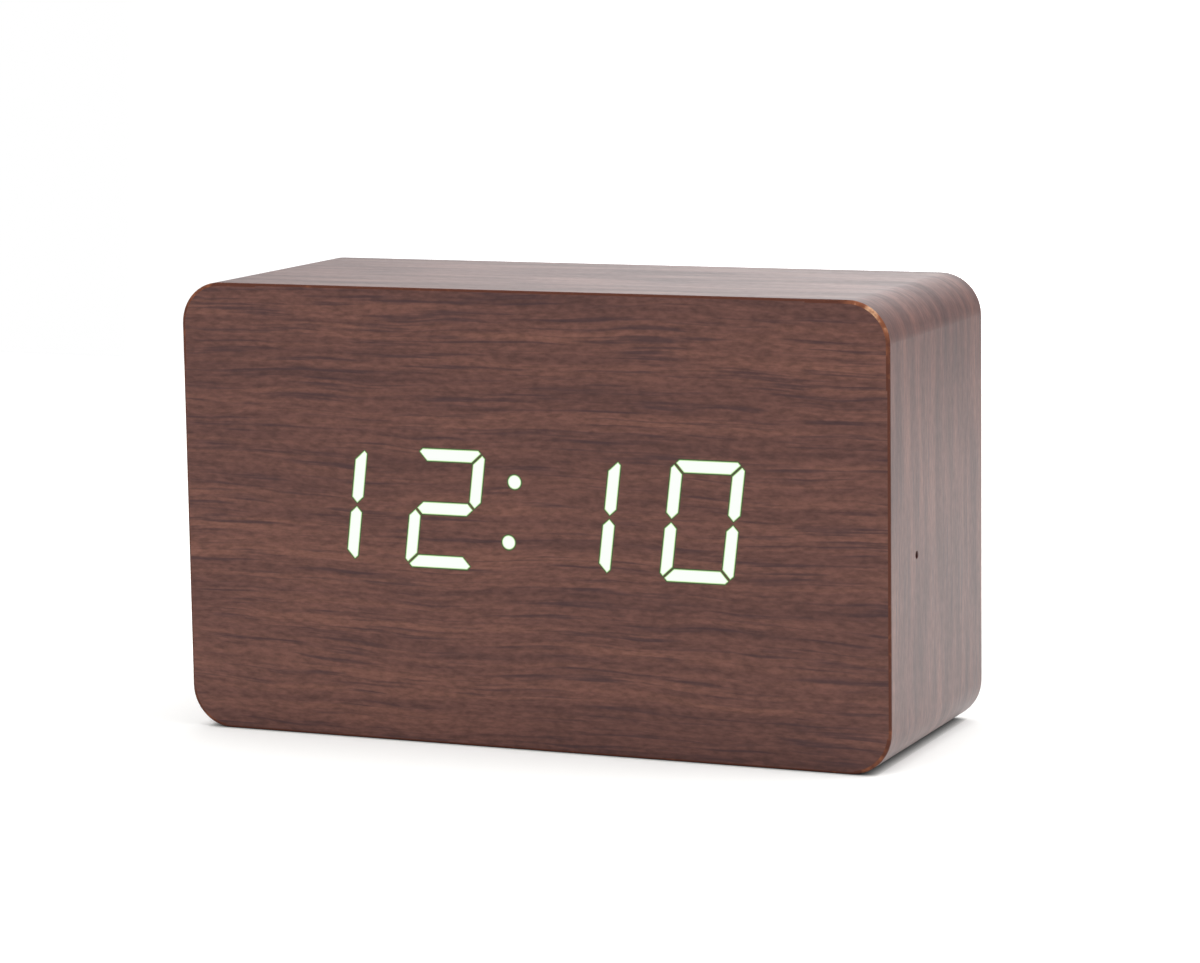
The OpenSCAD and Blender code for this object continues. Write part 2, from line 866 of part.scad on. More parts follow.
module ribbon_plugs() {
  color("whitesmoke") {
    on_board(socket_at)
      plug();
    under_key_board(key_socket_z)
      plug();
  }
}

module link_ribbon() {
  steps = 16;
  from = [board_back_y + socket_h + plug_h, display_socket_z];
  to = [key_back_y - socket_h - plug_h, key_socket_z];
  pull = (to[0] - from[0]) / 2;
  line = [
    for (k = [0:steps])
      let (t = k / steps, u = 1 - t)
      u * u * (u * from + 3 * t * (from + [pull, 0])) + t * t * (3 * u * (to - [pull, 0]) + t * to)
  ];
  run = [
    for (k = [0:steps])
      let (t = k / steps, u = 1 - t)
      unit(u * u * [pull, 0] + 2 * u * t * (to - from - [2 * pull, 0]) + t * t * [pull, 0])
  ];
  edge = [for (k = [0:steps]) ribbon_t / 2 * [-run[k][1], run[k][0]]];
  outline = concat(line + edge, [for (k = [steps:-1:0]) line[k] - edge[k]]);
  color("lightgrey")
    translate([control_x - ribbon_w / 2, 0, 0])
      rotate([90, 0, 90])
        linear_extrude(ribbon_w)
          polygon(outline);
}

// Keys

module key_board() {
  color("#1f5a34")
    difference() {
      slab(key_w, key_h, board_r, key_back_y, key_y, control_x, key_z);
      for (p = key_screw_sites)
        rod(board_screw_d + 2 * slip, key_back_y - bite, key_y + bite, p[0], p[1]);
    }
}

module key_spacers() {
  color("ivory")
    for (p = key_screw_sites)
      difference() {
        rod(spacer_d, key_y, panel_in_y, p[0], p[1]);
        rod(board_screw_d + 2 * slip, key_y - bite, panel_in_y + bite, p[0], p[1]);
      }
}

module key_screws() {
  color("silver")
    for (p = key_screw_sites)
      translate([p[0], key_back_y, p[1]])
        rotate([-90, 0, 0])
          pan_screw(panel_in_y - key_back_y + board_screw_bite);
}

module switch_bodies() {
  color("#2a2a2a")
    for (z = button_zs)
      difference() {
        slab(switch_w, switch_w, board_r / 2, key_y, key_y + switch_h, control_x, z);
        rod(
          plunger_d + 2 * slip, key_y + switch_h - plunger_depth - button_travel - touch_gap,
          key_y + switch_h + bite, control_x, z
        );
      }
}

module plunger(z) {
  color("black")
    rod(plunger_d, key_y + switch_h - plunger_depth, cap_back_y, control_x, z);
}

module set_plunger() {
  plunger(button_zs[0]);
}

module up_plunger() {
  plunger(button_zs[1]);
}

module down_plunger() {
  plunger(button_zs[2]);
}

// Button cap with its collar, its mark sunk into the face
module button(z, mark) {
  top_y = panel_out_y + button_proud;
  color("#1c1c1c")
    difference() {
      union() {
        rod(collar_d, cap_back_y, cap_back_y + collar_t, control_x, z);
        rod(button_d, cap_back_y, top_y - button_edge, control_x, z);
        rod(button_d, top_y - button_edge, top_y, control_x, z, button_d - 2 * button_edge);
      }
      prism(mark, top_y - mark_depth, top_y + bite, control_x, z);
    }
}

// Triangle that points up or down
function arrow(way) = [for (a = [90, 210, 330]) way * mark_r * [cos(a), sin(a)]];
function bar_mark() = [for (p = [[-1, -1], [1, -1], [1, 1], [-1, 1]]) [p[0] * mark_r, p[1] * mark_r / 4]];

module set_button() {
  button(button_zs[0], bar_mark());
}

module up_button() {
  button(button_zs[1], arrow(1));
}

module down_button() {
  button(button_zs[2], arrow(-1));
}

module buzzer() {
  color("#181818")
    difference() {
      rod(buzzer_d, key_back_y - buzzer_h, key_back_y, control_x, buzzer_z);
      rod(buzzer_hole_d, key_back_y - buzzer_h - bite, key_back_y - buzzer_h / 2, control_x, buzzer_z);
    }
}

// Back panel

// Countersunk hole or head, its mouth level with the back panel's outside
module countersink(p, grow) {
  head_h = (screw_head_d - screw_d) / 2;
  rod(screw_d + 2 * grow, panel_out_y - head_h, panel_out_y, p[0], p[1], screw_head_d + 2 * grow);
}

// Openings of the back panel
module back_cuts() {
  slab(
    bay_w + 2 * bay_flange_w + 2 * slip, bay_h + 2 * bay_flange_w + 2 * slip, bay_flange_r + slip,
    panel_out_y - bay_flange_t, panel_out_y + bite, bay_x
  );
  slab(bay_w + 2 * slip, bay_h + 2 * slip, bay_r + slip, panel_in_y - bite, panel_out_y, bay_x);
  for (z = button_zs)
    rod(button_d + 2 * button_gap, panel_in_y - bite, panel_out_y + bite, control_x, z);
  rod(barrel_d + 2 * slip, panel_in_y - bite, panel_out_y + bite, control_x, jack_z);
  for (p = post_sites) {
    rod(screw_d + 2 * slip, panel_in_y - bite, panel_out_y, p[0], p[1]);
    countersink(p, slip);
  }
  for (p = key_screw_sites)
    rod(board_screw_d + 2 * slip, panel_in_y - bite, panel_in_y + board_screw_bite + slip, p[0], p[1]);
}

module back_board() {
  color("burlywood")
    difference() {
      slab(panel_w, panel_h, panel_r, panel_in_y, panel_mid_y);
      back_cuts();
    }
}

module back_veneer() {
  color("#684a45")
    difference() {
      slab(panel_w, panel_h, panel_r, panel_mid_y, panel_out_y);
      back_cuts();
    }
}

module back_screws() {
  color("#303030")
    for (p = post_sites)
      difference() {
        union() {
          countersink(p, 0);
          rod(screw_d, panel_out_y - screw_l, panel_out_y - bite, p[0], p[1]);
        }
        translate([p[0], panel_out_y, p[1]])
          rotate([90, 0, 0])
            cross_recess(screw_head_d);
      }
}

// Battery bay

// Contact plates of the bay: end of the bay, rows that a plate joins, and whether it has a solder tag
contact_plates = [[-1, 0, 0, true], [-1, 1, 2, false], [1, 0, 1, false], [1, 2, 2, true]];
// Rows whose spring is at each end of the bay
spring_sites = [[-1, 0], [-1, 2], [1, 1]];

// Tag of a contact plate, through the floor of the bay
module contact_tag(plate, grow) {
  end = plate[0];
  x = end < 0 ? bay_left : bay_right - plate_t;
  z = row_zs[plate[1]];
  box(
    [x - grow, bay_back_y - tag_l, z - tag_w / 2 - grow],
    [x + plate_t + grow, floor_y + bite, z + tag_w / 2 + grow]
  );
}

module battery_bay() {
  color("#232323")
    difference() {
      union() {
        difference() {
          union() {
            slab(bay_w, bay_h, bay_r, bay_back_y, panel_out_y, bay_x);
            slab(
              bay_w + 2 * bay_flange_w, bay_h + 2 * bay_flange_w, bay_flange_r,
              panel_out_y - bay_flange_t, panel_out_y, bay_x
            );
          }
          slab(bay_in_w, bay_in_h, bay_in_r, floor_y, panel_out_y + bite, bay_x);
          slab(
            door_w + 2 * door_gap, door_h + 2 * door_gap, door_r + door_gap,
            seat_y, panel_out_y + bite, bay_x
          );
        }
        for (k = [-1, 1])
          box(
            [bay_x - rib_l / 2, floor_y - bite, mid_z + k * cell_pitch / 2 - rib_w / 2],
            [bay_x + rib_l / 2, floor_y + rib_h, mid_z + k * cell_pitch / 2 + rib_w / 2]
          );
      }
      for (s = [-1, 1])
        let (x = bay_x + s * hook_x, half = hook_w / 2 + door_gap)
          box(
            [x - half, door_y - 2 * hook_t - door_gap, mid_z - bay_h / 2 - bite],
            [x + half, seat_y, mid_z - bay_in_h / 2 + bite]
          );
      for (plate = contact_plates)
        if (plate[3])
          contact_tag(plate, slip);
    }
}

module battery_door() {
  color("#262626")
    difference() {
      union() {
        slab(door_w, door_h, door_r, door_y, panel_out_y, bay_x);
        for (s = [-1, 1])
          let (x = bay_x + s * hook_x) {
            box(
              [x - hook_w / 2, seat_y - touch_gap - hook_t, door_bottom - hook_reach],
              [x + hook_w / 2, seat_y - touch_gap, door_bottom + hook_root]
            );
            box(
              [x - hook_w / 2, seat_y - touch_gap - bite, door_bottom + hook_reach],
              [x + hook_w / 2, door_y + bite, door_bottom + hook_root]
            );
          }
        box(
          [bay_x - tongue_w / 4, door_y + door_t / 3, door_top - bite],
          [bay_x + tongue_w / 4, door_y + 2 * door_t / 3, door_top + tongue_nose]
        );
      }
      for (s = [-1, 1])
        box(
          [bay_x + s * tongue_w / 2 - tongue_slot_w / 2, door_y - bite, door_top - tongue_slot_l],
          [bay_x + s * tongue_w / 2 + tongue_slot_w / 2, panel_out_y + bite, door_top + bite]
        );
      difference() {
        translate([bay_x, panel_out_y + scoop_r - scoop_depth, door_top - tongue_slot_l / 2])
          rotate([0, 90, 0])
            cylinder(r = scoop_r, h = tongue_w - 3 * tongue_slot_w, center = true);
        for (k = [-1:1])
          translate([bay_x, panel_out_y, door_top - tongue_slot_l / 2 + k * grip_gap])
            cube([tongue_w, 2 * scoop_depth, grip_w], center = true);
      }
    }
}

module aaa_cells() {
  color("#c08030")
    for (k = [0:2])
      let (way = k == 1 ? -1 : 1)
        translate([bay_x + way * (bay_in_w / 2 - plate_t - touch_gap), cell_y, row_zs[k]])
          rotate([0, -90 * way, 0]) {
            cylinder(d = nub_d, h = nub_l + bite);
            translate([0, 0, nub_l])
              cylinder(d = cell_d, h = cell_l - nub_l);
          }
}

module battery_contacts() {
  color("silver")
    for (plate = contact_plates)
      let (x = plate[0] < 0 ? bay_left : bay_right - plate_t) {
        box(
          [x, cell_y - contact_w / 2, row_zs[plate[1]] - contact_w / 2],
          [x + plate_t, cell_y + contact_w / 2, row_zs[plate[2]] + contact_w / 2]
        );
        if (plate[3]) {
          contact_tag(plate, 0);
          box(
            [x, floor_y, row_zs[plate[1]] - tag_w / 2],
            [x + plate_t, cell_y, row_zs[plate[1]] + tag_w / 2]
          );
        }
      }
}

module battery_springs() {
  color("silver")
    for (site = spring_sites)
      translate([bay_x + site[0] * (bay_in_w / 2 - plate_t), cell_y, row_zs[site[1]]])
        rotate([0, 0, site[0] < 0 ? 0 : 180])
          tube(coil_points(spring_l), spring_wire_d, spring_sides);
}

// Place on the key board's inner face where a lead ends
function pad(k) = [control_x + k * pad_pitch, key_back_y, pad_z];

// Path of a lead from a tag to a pad, both met square to the board, with its level run moved aside
function lead_path(from, to, aside = 0) =
  let (
    run = [to[0] - from[0], 0, to[2] - from[2]],
    bend = lead_bend * unit(run),
    level = [0, min(from[1], to[1]) - lead_drop - from[1], 0],
    shift = [aside, 0, 0]
  )
  route([
    from, from - [0, lead_stub, 0], from + bend + level + shift / 2,
    from + run / 3 + level + shift, from + 2 * run / 3 + level + shift,
    to - bend - [0, pad_drop, 0] + shift / 2, to - [0, pad_stub, 0], to
  ]);

module battery_leads() {
  tag_y = bay_back_y - tag_l;
  color("black")
    tube(lead_path([bay_left + plate_t / 2, tag_y, row_zs[0]], pad(-0.5)), lead_d);
  color("firebrick")
    tube(lead_path([bay_right - plate_t / 2, tag_y, row_zs[2]], pad(-1.5)), lead_d);
}

// Power inlet

module dc_jack() {
  color("#1a1a1a")
    difference() {
      union() {
        rod(jack_rim_d, panel_out_y, jack_face_y, control_x, jack_z);
        rod(barrel_d, jack_back_y, panel_out_y + bite, control_x, jack_z);
      }
      rod(plug_bore_d, chamber_y - bite, jack_face_y + bite, control_x, jack_z);
      rod(chamber_d, chamber_floor_y, chamber_y, control_x, jack_z);
      rod(jack_pin_d + 2 * slip, jack_back_y - bite, chamber_floor_y + bite, control_x, jack_z);
      contact_strip(slip);
    }
}

module jack_pin() {
  tip = jack_pin_d / 4;
  color("goldenrod") {
    rod(jack_pin_d, jack_back_y - jack_tail, chamber_y - pin_setback - tip, control_x, jack_z);
    rod(
      jack_pin_d, chamber_y - pin_setback - tip, chamber_y - pin_setback,
      control_x, jack_z, jack_pin_d - 2 * tip
    );
  }
}

// Spring strip that touches the plug's sleeve, with its tail through the jack's rear wall
module contact_strip(grow) {
  half = contact_strip_w / 2 + grow;
  box(
    [control_x - half, jack_back_y - jack_tail, contact_strip_z - grow],
    [control_x + half, chamber_y - pin_setback, contact_strip_z + contact_strip_t + grow]
  );
}

module jack_contact() {
  color("goldenrod")
    contact_strip(0);
}

module jack_washer() {
  color("silver")
    difference() {
      rod(nut_w - 2 * washer_step, panel_in_y - washer_t, panel_in_y, control_x, jack_z);
      rod(barrel_d + 2 * slip, panel_in_y - washer_t - bite, panel_in_y + bite, control_x, jack_z);
    }
}

module jack_nut() {
  color("silver")
    difference() {
      translate([control_x, panel_in_y - washer_t, jack_z])
        rotate([90, 0, 0])
          cylinder(d = nut_w / cos(30), h = nut_t, $fn = 6);
      rod(barrel_d + 2 * slip, panel_in_y - washer_t - nut_t - bite, panel_in_y, control_x, jack_z);
    }
}

module jack_leads() {
  tail_y = jack_back_y - jack_tail;
  sleeve_z = contact_strip_z + contact_strip_t / 2;
  color("firebrick")
    tube(lead_path([control_x, tail_y, jack_z], pad(0.5)), lead_d);
  color("black")
    tube(lead_path([control_x, tail_y, sleeve_z], pad(1.5), sleeve_lead_aside), lead_d);
}

// Microphone

module microphone() {
  color("silver")
    microphone_cut(mic_d - 2 * slip, mic_back_x, mic_floor_x - touch_gap);
}

module microphone_boot() {
  color("#202020")
    difference() {
      microphone_cut(mic_d + 2 * boot_t, mic_back_x, mic_floor_x - touch_gap);
      microphone_cut(mic_d, mic_back_x - bite, mic_floor_x + bite);
    }
}

module microphone_leads() {
  pad_x = board_w / 2 - mic_pad_inset;
  for (k = [-1, 1])
    let (z = port_z + k * mic_lead_pitch / 2)
      color(k < 0 ? "black" : "firebrick")
        tube(
          route([
            [mic_back_x, mic_y, z], [mic_back_x - mic_lead_stub, mic_y, z],
            [pad_x + mic_lead_bend, mic_y + mic_lead_bend, z],
            [pad_x, board_back_y + lead_stub, z], [pad_x, board_back_y, z]
          ]),
          thin_lead_d
        );
}

case_body();
wrap_veneer();
base_veneer();
front_veneer();
lit_segments();
segment_mask();
light_box();
light_bars();
segment_leds();
display_board();
display_screws();
microcontroller();
led_driver();
clock_crystal();
reservoir_capacitor();
chip_resistors();
chip_capacitors();
coin_cell_holder();
coin_cell();
display_socket();
key_socket();
ribbon_plugs();
link_ribbon();
key_board();
key_spacers();
key_screws();
switch_bodies();
buzzer();
set_plunger();
up_plunger();
down_plunger();
set_button();
up_button();
down_button();
back_board();
back_veneer();
back_screws();
battery_bay();
battery_door();
aaa_cells();
battery_contacts();
battery_springs();
battery_leads();
dc_jack();
jack_pin();
jack_contact();
jack_washer();
jack_nut();
jack_leads();
microphone();
microphone_boot();
microphone_leads();
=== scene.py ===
"""Looks of a walnut alarm clock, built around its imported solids."""
import math

import bmesh
import bpy
from mathutils import Matrix, Vector


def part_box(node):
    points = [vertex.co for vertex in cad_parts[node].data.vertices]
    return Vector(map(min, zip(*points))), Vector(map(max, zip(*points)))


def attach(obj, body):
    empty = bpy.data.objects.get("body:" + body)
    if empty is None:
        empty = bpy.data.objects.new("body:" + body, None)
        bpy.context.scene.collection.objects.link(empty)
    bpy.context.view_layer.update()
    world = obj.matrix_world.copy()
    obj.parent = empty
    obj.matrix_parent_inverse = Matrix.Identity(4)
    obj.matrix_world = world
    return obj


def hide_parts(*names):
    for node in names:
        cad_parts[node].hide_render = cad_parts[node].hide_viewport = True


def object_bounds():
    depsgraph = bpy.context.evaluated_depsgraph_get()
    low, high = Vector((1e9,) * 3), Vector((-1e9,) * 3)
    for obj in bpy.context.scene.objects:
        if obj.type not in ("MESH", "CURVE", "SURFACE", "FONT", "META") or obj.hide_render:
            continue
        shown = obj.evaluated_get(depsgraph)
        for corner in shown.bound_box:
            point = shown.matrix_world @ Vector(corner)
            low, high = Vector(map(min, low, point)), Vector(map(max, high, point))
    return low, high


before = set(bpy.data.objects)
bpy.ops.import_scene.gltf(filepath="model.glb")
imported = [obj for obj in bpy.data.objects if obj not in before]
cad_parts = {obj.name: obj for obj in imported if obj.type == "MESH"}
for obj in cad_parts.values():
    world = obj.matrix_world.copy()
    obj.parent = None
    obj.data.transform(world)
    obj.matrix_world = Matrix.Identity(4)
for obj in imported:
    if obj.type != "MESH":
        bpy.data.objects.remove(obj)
CAD_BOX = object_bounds()

bl_info = {
    "name": "Walnut alarm clock",
    "version": (1, 0, 0),
    "blender": (4, 5, 0),
    "location": "View3D > Sidebar > Clock",
    "description": "Dresses the solids of a walnut alarm clock in film, light, plastic and metal",
    "category": "Object",
}

MM = 0.001
LOW, HIGH = CAD_BOX
MIDDLE = (LOW + HIGH) / 2

# two points nearer than this are one: in a finished piece, and in the loose triangles of a CAD node
ONE_POINT = 0.0005 * MM
ONE_CAD_POINT = 0.002 * MM
# a point nearer than this lies on a plane, or on the rounded outline of the case
ON_PLANE = 0.01 * MM
ON_OUTLINE = 0.05 * MM
# edges that turn by more degrees than the first are rounded, and by more than the second are shaded sharp
ROUNDED_ANGLE = 32.0
SHARP_ANGLE = 40.0
# a face whose normal has this share along an axis looks that way
FACING = 0.99
# most of a noise lies between these values
NOISE_LOW, NOISE_HIGH = 0.3, 0.7
# turn that lays the grain level on an upright face
LEVEL_GRAIN = (math.pi / 2, 0.0, 0.0)


def linear(code):
    """Linear RGBA of an sRGB hex colour."""
    parts = [int(code[i:i + 2], 16) / 255 for i in (1, 3, 5)]
    return tuple(p / 12.92 if p <= 0.04045 else ((p + 0.055) / 1.055) ** 2.4 for p in parts) + (1.0,)


WHITE = linear("#ffffff")
BLACK = linear("#000000")


def length(name, description, millimetres):
    """Property for a length, given in millimetres."""
    return bpy.props.FloatProperty(
        name=name, description=description, default=millimetres * MM, min=0.0, precision=5, unit="LENGTH")


def colour(name, description, code):
    """Property for a colour, given as sRGB hex."""
    return bpy.props.FloatVectorProperty(
        name=name, description=description, default=linear(code), size=4, min=0.0, max=1.0, subtype="COLOR")


class ClockSizes(bpy.types.PropertyGroup):
    corner_radius: length("Corner radius", "Radius of the four long edges of the case", 5.6)
    film_edge: length("Film edge", "Rounding of the front film's cut edge", 0.3)
    rim_edge: length("Rim edge", "Rounding of the rear rim", 0.8)
    back_edge: length("Back edge", "Rounding of the back film's cut edges", 0.08)
    port_edge: length("Port edge", "Rounding of the sound port's mouth", 0.08)
    outline_width: length(
        "Outline width", "Width of the dark line round a lit segment, under half the gap between two", 0.16)
    glow_rim: length("Glow rim", "Width of the dimmer rim inside a lit segment", 0.1)
    bay_edge: length("Bay edge", "Rounding of the edges of the battery bay", 0.1)
    door_edge: length("Door edge", "Rounding of the edges of the battery door", 0.16)
    key_crown: length("Key crown", "Rounding of the rim of a key", 0.35)
    mark_edge: length("Mark edge", "Rounding of the edges of a key's mark", 0.03)
    inlet_rim: length("Inlet rim", "Rounding of the inlet's rim and mouth", 0.28)
    nut_edge: length("Nut edge", "Rounding of the edges of the inlet's nut", 0.15)
    metal_edge: length("Metal edge", "Rounding of the edges of small metal pieces", 0.05)
    band_width: length("Band width", "Width of the broad bands in the walnut", 4.0)
    band_length: length("Band length", "Length of the broad bands along the grain", 130.0)
    streak_width: length("Streak width", "Width of the grain streaks", 0.9)
    streak_length: length("Streak length", "Length of the grain streaks", 28.0)
    vein_width: length("Vein width", "Width of the thin dark veins", 0.55)
    vein_length: length("Vein length", "Length of the thin dark veins", 14.0)
    pore_width: length("Pore width", "Width of the short pores", 0.5)
    pore_length: length("Pore length", "Length of the short pores", 1.4)
    grit: length("Grit", "Grain of the spark-eroded texture on moulded plastic", 0.55)
    spring_wire: length("Spring wire", "Wire diameter of the contact springs", 0.5)
    spring_base: length("Spring base", "Outer diameter of a contact spring at its plate", 7.5)
    spring_tip: length("Spring tip", "Outer diameter of a contact spring at the cell", 5.0)
    spring_room: length("Spring room", "Room for a contact spring between its plate and the cell", 4.4)
    cell_diameter: length("Cell diameter", "Diameter of a dry cell", 10.5)


class ClockColours(bpy.types.PropertyGroup):
    film_dark: colour("Dark streak", "Darkest streaks of the walnut film", "#4f332f")
    film_vein: colour("Vein", "Thin dark veins of the walnut film", "#38262a")
    film_mid: colour("Walnut", "Middle tone of the walnut film", "#5f3e37")
    film_light: colour("Pale streak", "Palest streaks of the walnut film", "#704a3f")
    fibre_dark: colour("Dark fibre", "Dark parts of the film's cut edge", "#573227")
    fibre_light: colour("Pale fibre", "Pale parts of the film's cut edge", "#87523a")
    fibre_bare: colour("Bare fibre", "Fibre laid bare at the worn corners", "#c79a78")
    glow: colour("Glow", "Lit film in front of the lamps", "#fbfffa")
    glow_rim: colour("Glow rim", "Lit film at the edge of a segment", "#cdf0b0")
    outline: colour("Outline", "Film beside a lit segment", "#2b4a17")
    plastic: colour("Black plastic", "Moulded plastic of the back", "#19191a")
    mark: colour("Mark", "Paint in the marks of the keys", "#b9b9b6")
    sleeve: colour("Cell sleeve", "Long part of a cell's sleeve", "#a9aba8")
    sleeve_band: colour("Sleeve band", "Band at the plus end of a cell's sleeve", "#31574c")
    board: colour("Solder mask", "Lacquer of the circuit boards", "#1c5a34")
    floor: colour("Floor", "Floor under the clock", "#e6e6e4")


def add_node(tree, kind, feeds=None, stops=(), **settings):
    """Adds a node with its settings and stops, and feeds each named input with a value or a socket."""
    node = tree.nodes.new(kind)
    for name, value in settings.items():
        setattr(node, name, value)
    for name, value in (feeds or {}).items():
        if isinstance(value, bpy.types.NodeSocket):
            tree.links.new(value, node.inputs[name])
        else:
            node.inputs[name].default_value = value
    if stops:
        ends = node.color_ramp.elements[0], node.color_ramp.elements[1]
        for end, (spot, tint) in zip(ends, (stops[0], stops[-1])):
            end.position = spot
            end.color = tint
        for spot, tint in stops[1:-1]:
            node.color_ramp.elements.new(spot).color = tint
    return node


def start_material(name, **values):
    """New material with one shader, whose even values are set on its own sockets."""
    material = bpy.data.materials.new(name)
    material.use_nodes = True
    tree = material.node_tree
    tree.nodes.clear()
    shader = add_node(tree, "ShaderNodeBsdfPrincipled", values)
    add_node(tree, "ShaderNodeOutputMaterial", {"Surface": shader.outputs["BSDF"]})
    return material, tree, shader


def shade(tint, factor):
    """Colour made darker or paler by a factor."""
    return tuple(min(1.0, c * factor) for c in tint[:3]) + (1.0,)


def speckled(
        name, dark, light, spot, bump=0.0, rough=(0.5, 0.6), detail=2.0, stretch=(1, 1, 1), **values):
    """Material whose colour and gloss wander between two values, in spots of a real size in metres."""
    material, tree, shader = start_material(name, **values)
    place = add_node(tree, "ShaderNodeTexCoord")
    scaled = add_node(tree, "ShaderNodeVectorMath", {
        0: place.outputs["Object"], 1: Vector(stretch) / spot}, operation="MULTIPLY")
    noise = add_node(tree, "ShaderNodeTexNoise", {
        "Vector": scaled.outputs[0], "Scale": 1.0, "Detail": detail}).outputs["Fac"]
    tone = add_node(tree, "ShaderNodeMapRange", {
        "Value": noise, "From Min": NOISE_LOW, "From Max": NOISE_HIGH}, clamp=True)
    tinted = add_node(tree, "ShaderNodeValToRGB", {"Fac": tone.outputs["Result"]}, (
        (0.0, dark), (1.0, light)))
    gloss = add_node(tree, "ShaderNodeMapRange", {
        "Value": noise, "From Min": NOISE_LOW, "From Max": NOISE_HIGH,
        "To Min": rough[0], "To Max": rough[1]})
    tree.links.new(tinted.outputs["Color"], shader.inputs["Base Color"])
    tree.links.new(gloss.outputs["Result"], shader.inputs["Roughness"])
    if bump:
        relief = add_node(tree, "ShaderNodeBump", {"Height": noise, "Strength": 0.5, "Distance": bump})
        tree.links.new(relief.outputs["Normal"], shader.inputs["Normal"])
    return material


def walnut_film(
        name, ior, sheen, coarse=1.0, wander=4 * MM, stripes=0.5, spread=0.16, pores=0.28, hue=0.5,
        start=(0.0, 0.0, 0.0), turn=(0.0, 0.0, 0.0), own_map=False):
    """Printed walnut film under a satin lacquer: soft bands, fine streaks and pores along the grain,
    and a sheen that hides the colour at a flat angle. The grain runs along X of the turned place.

    coarse widens bands and streaks, wander is how far marks stray, stripes is the streaks' share of the
    tone, spread is how wide the tones reach, pores is how far a pore darkens, and a hue of 0.5 keeps the
    colours as they are. Pores are drawn about twice as wide as real ones, so that they show."""
    sizes, colours = bpy.context.scene.clock_sizes, bpy.context.scene.clock_colours
    material, tree, shader = start_material(name, **{"IOR": ior, "Specular IOR Level": sheen})
    place = add_node(tree, "ShaderNodeTexCoord")
    grain = add_node(tree, "ShaderNodeMapping", {
        "Vector": place.outputs["UV" if own_map else "Object"], "Location": start, "Rotation": turn})
    # the grain strays up and down in slow waves
    wave_length, wave_width = 40 * MM, 16 * MM
    slow = add_node(tree, "ShaderNodeVectorMath", {
        0: grain.outputs[0], 1: (1 / wave_length, 1 / wave_width, 1 / wave_width)}, operation="MULTIPLY")
    stray = add_node(tree, "ShaderNodeTexNoise", {"Vector": slow.outputs[0], "Scale": 1.0, "Detail": 3.0})
    wavy = add_node(tree, "ShaderNodeVectorMath", {
        0: stray.outputs["Fac"], 1: (0.0, wander, 0.0), 2: grain.outputs[0]}, operation="MULTIPLY_ADD")
    # each kind of mark: its length along the grain, its width across it, and how frayed it is
    marks = (
        (sizes.band_length, sizes.band_width * coarse, 2.0),
        (sizes.streak_length, sizes.streak_width * coarse, 2.0 + coarse / 2),
        (sizes.pore_length, sizes.pore_width, 3.0),
        (sizes.vein_length, sizes.vein_width, 3.0))
    mark_depth = 50 * MM
    layers = []
    for along, across, detail in marks:
        stretched = add_node(tree, "ShaderNodeVectorMath", {
            0: wavy.outputs[0], 1: (1 / along, 1 / across, 1 / mark_depth)}, operation="MULTIPLY")
        noise = add_node(tree, "ShaderNodeTexNoise", {
            "Vector": stretched.outputs[0], "Scale": 1.0, "Detail": detail, "Roughness": 0.55})
        layers.append(noise.outputs["Fac"])
    band, streak, pore, vein = layers
    # bands and streaks set the tone, pores darken it, and thin veins lie over it
    broad = add_node(tree, "ShaderNodeMapRange", {
        "Value": band, "From Min": 0.25, "From Max": 0.75, "To Min": 0.2, "To Max": 0.8})
    tone = add_node(tree, "ShaderNodeMix", {"Factor": stripes, "A": broad.outputs["Result"], "B": streak})
    tinted = add_node(tree, "ShaderNodeValToRGB", {"Fac": tone.outputs["Result"]}, (
        (0.5 - spread, colours.film_dark), (0.5, colours.film_mid), (0.5 + spread, colours.film_light)))
    depth = add_node(tree, "ShaderNodeMapRange", {
        "Value": pore, "From Min": NOISE_LOW, "From Max": NOISE_HIGH,
        "To Min": 1 - pores, "To Max": 1 + pores})
    toned = add_node(tree, "ShaderNodeHueSaturation", {
        "Color": tinted.outputs["Color"], "Hue": hue, "Value": depth.outputs["Result"]})
    thin = add_node(tree, "ShaderNodeMapRange", {
        "Value": vein, "From Min": 0.32, "From Max": 0.47, "To Min": 0.7, "To Max": 0.0})
    veined = add_node(tree, "ShaderNodeMixRGB", {
        "Fac": thin.outputs["Result"], "Color1": toned.outputs["Color"], "Color2": colours.film_vein})
    # dark and pored places are duller
    broken = add_node(tree, "ShaderNodeMix", {"Factor": 0.45, "A": tone.outputs["Result"], "B": pore})
    gloss = add_node(tree, "ShaderNodeMapRange", {
        "Value": broken.outputs["Result"], "From Min": 0.5 - spread, "From Max": 0.5 + spread,
        "To Min": 0.415, "To Max": 0.35})
    relief = add_node(tree, "ShaderNodeBump", {"Height": pore, "Strength": 0.25, "Distance": 0.04 * MM})
    tree.links.new(veined.outputs["Color"], shader.inputs["Base Color"])
    tree.links.new(gloss.outputs["Result"], shader.inputs["Roughness"])
    tree.links.new(relief.outputs["Normal"], shader.inputs["Normal"])
    return material


def black_plastic():
    """Moulded black plastic with a spark-eroded texture: nearly black, with a soft broken sheen.
    The real grit is about 0.1 mm; it is drawn five times as coarse, so that it shows."""
    scene = bpy.context.scene
    tint = scene.clock_colours.plastic
    return speckled(
        "Moulded black plastic", shade(tint, 0.7), shade(tint, 1.35), scene.clock_sizes.grit,
        bump=0.06 * MM, rough=(0.38, 0.6), **{"IOR": 1.5, "Specular IOR Level": 0.22})


def nickel_plate():
    """Bright nickel on spring steel: pale warm grey metal with a slight haze."""
    return speckled(
        "Nickel plated steel", linear("#b4b1aa"), linear("#cfccc5"), 1.5 * MM,
        rough=(0.22, 0.34), Metallic=1.0)


def found(items, what):
    """The items, or an error where there are none."""
    if not items:
        raise RuntimeError(f"No {what} found")
    return items


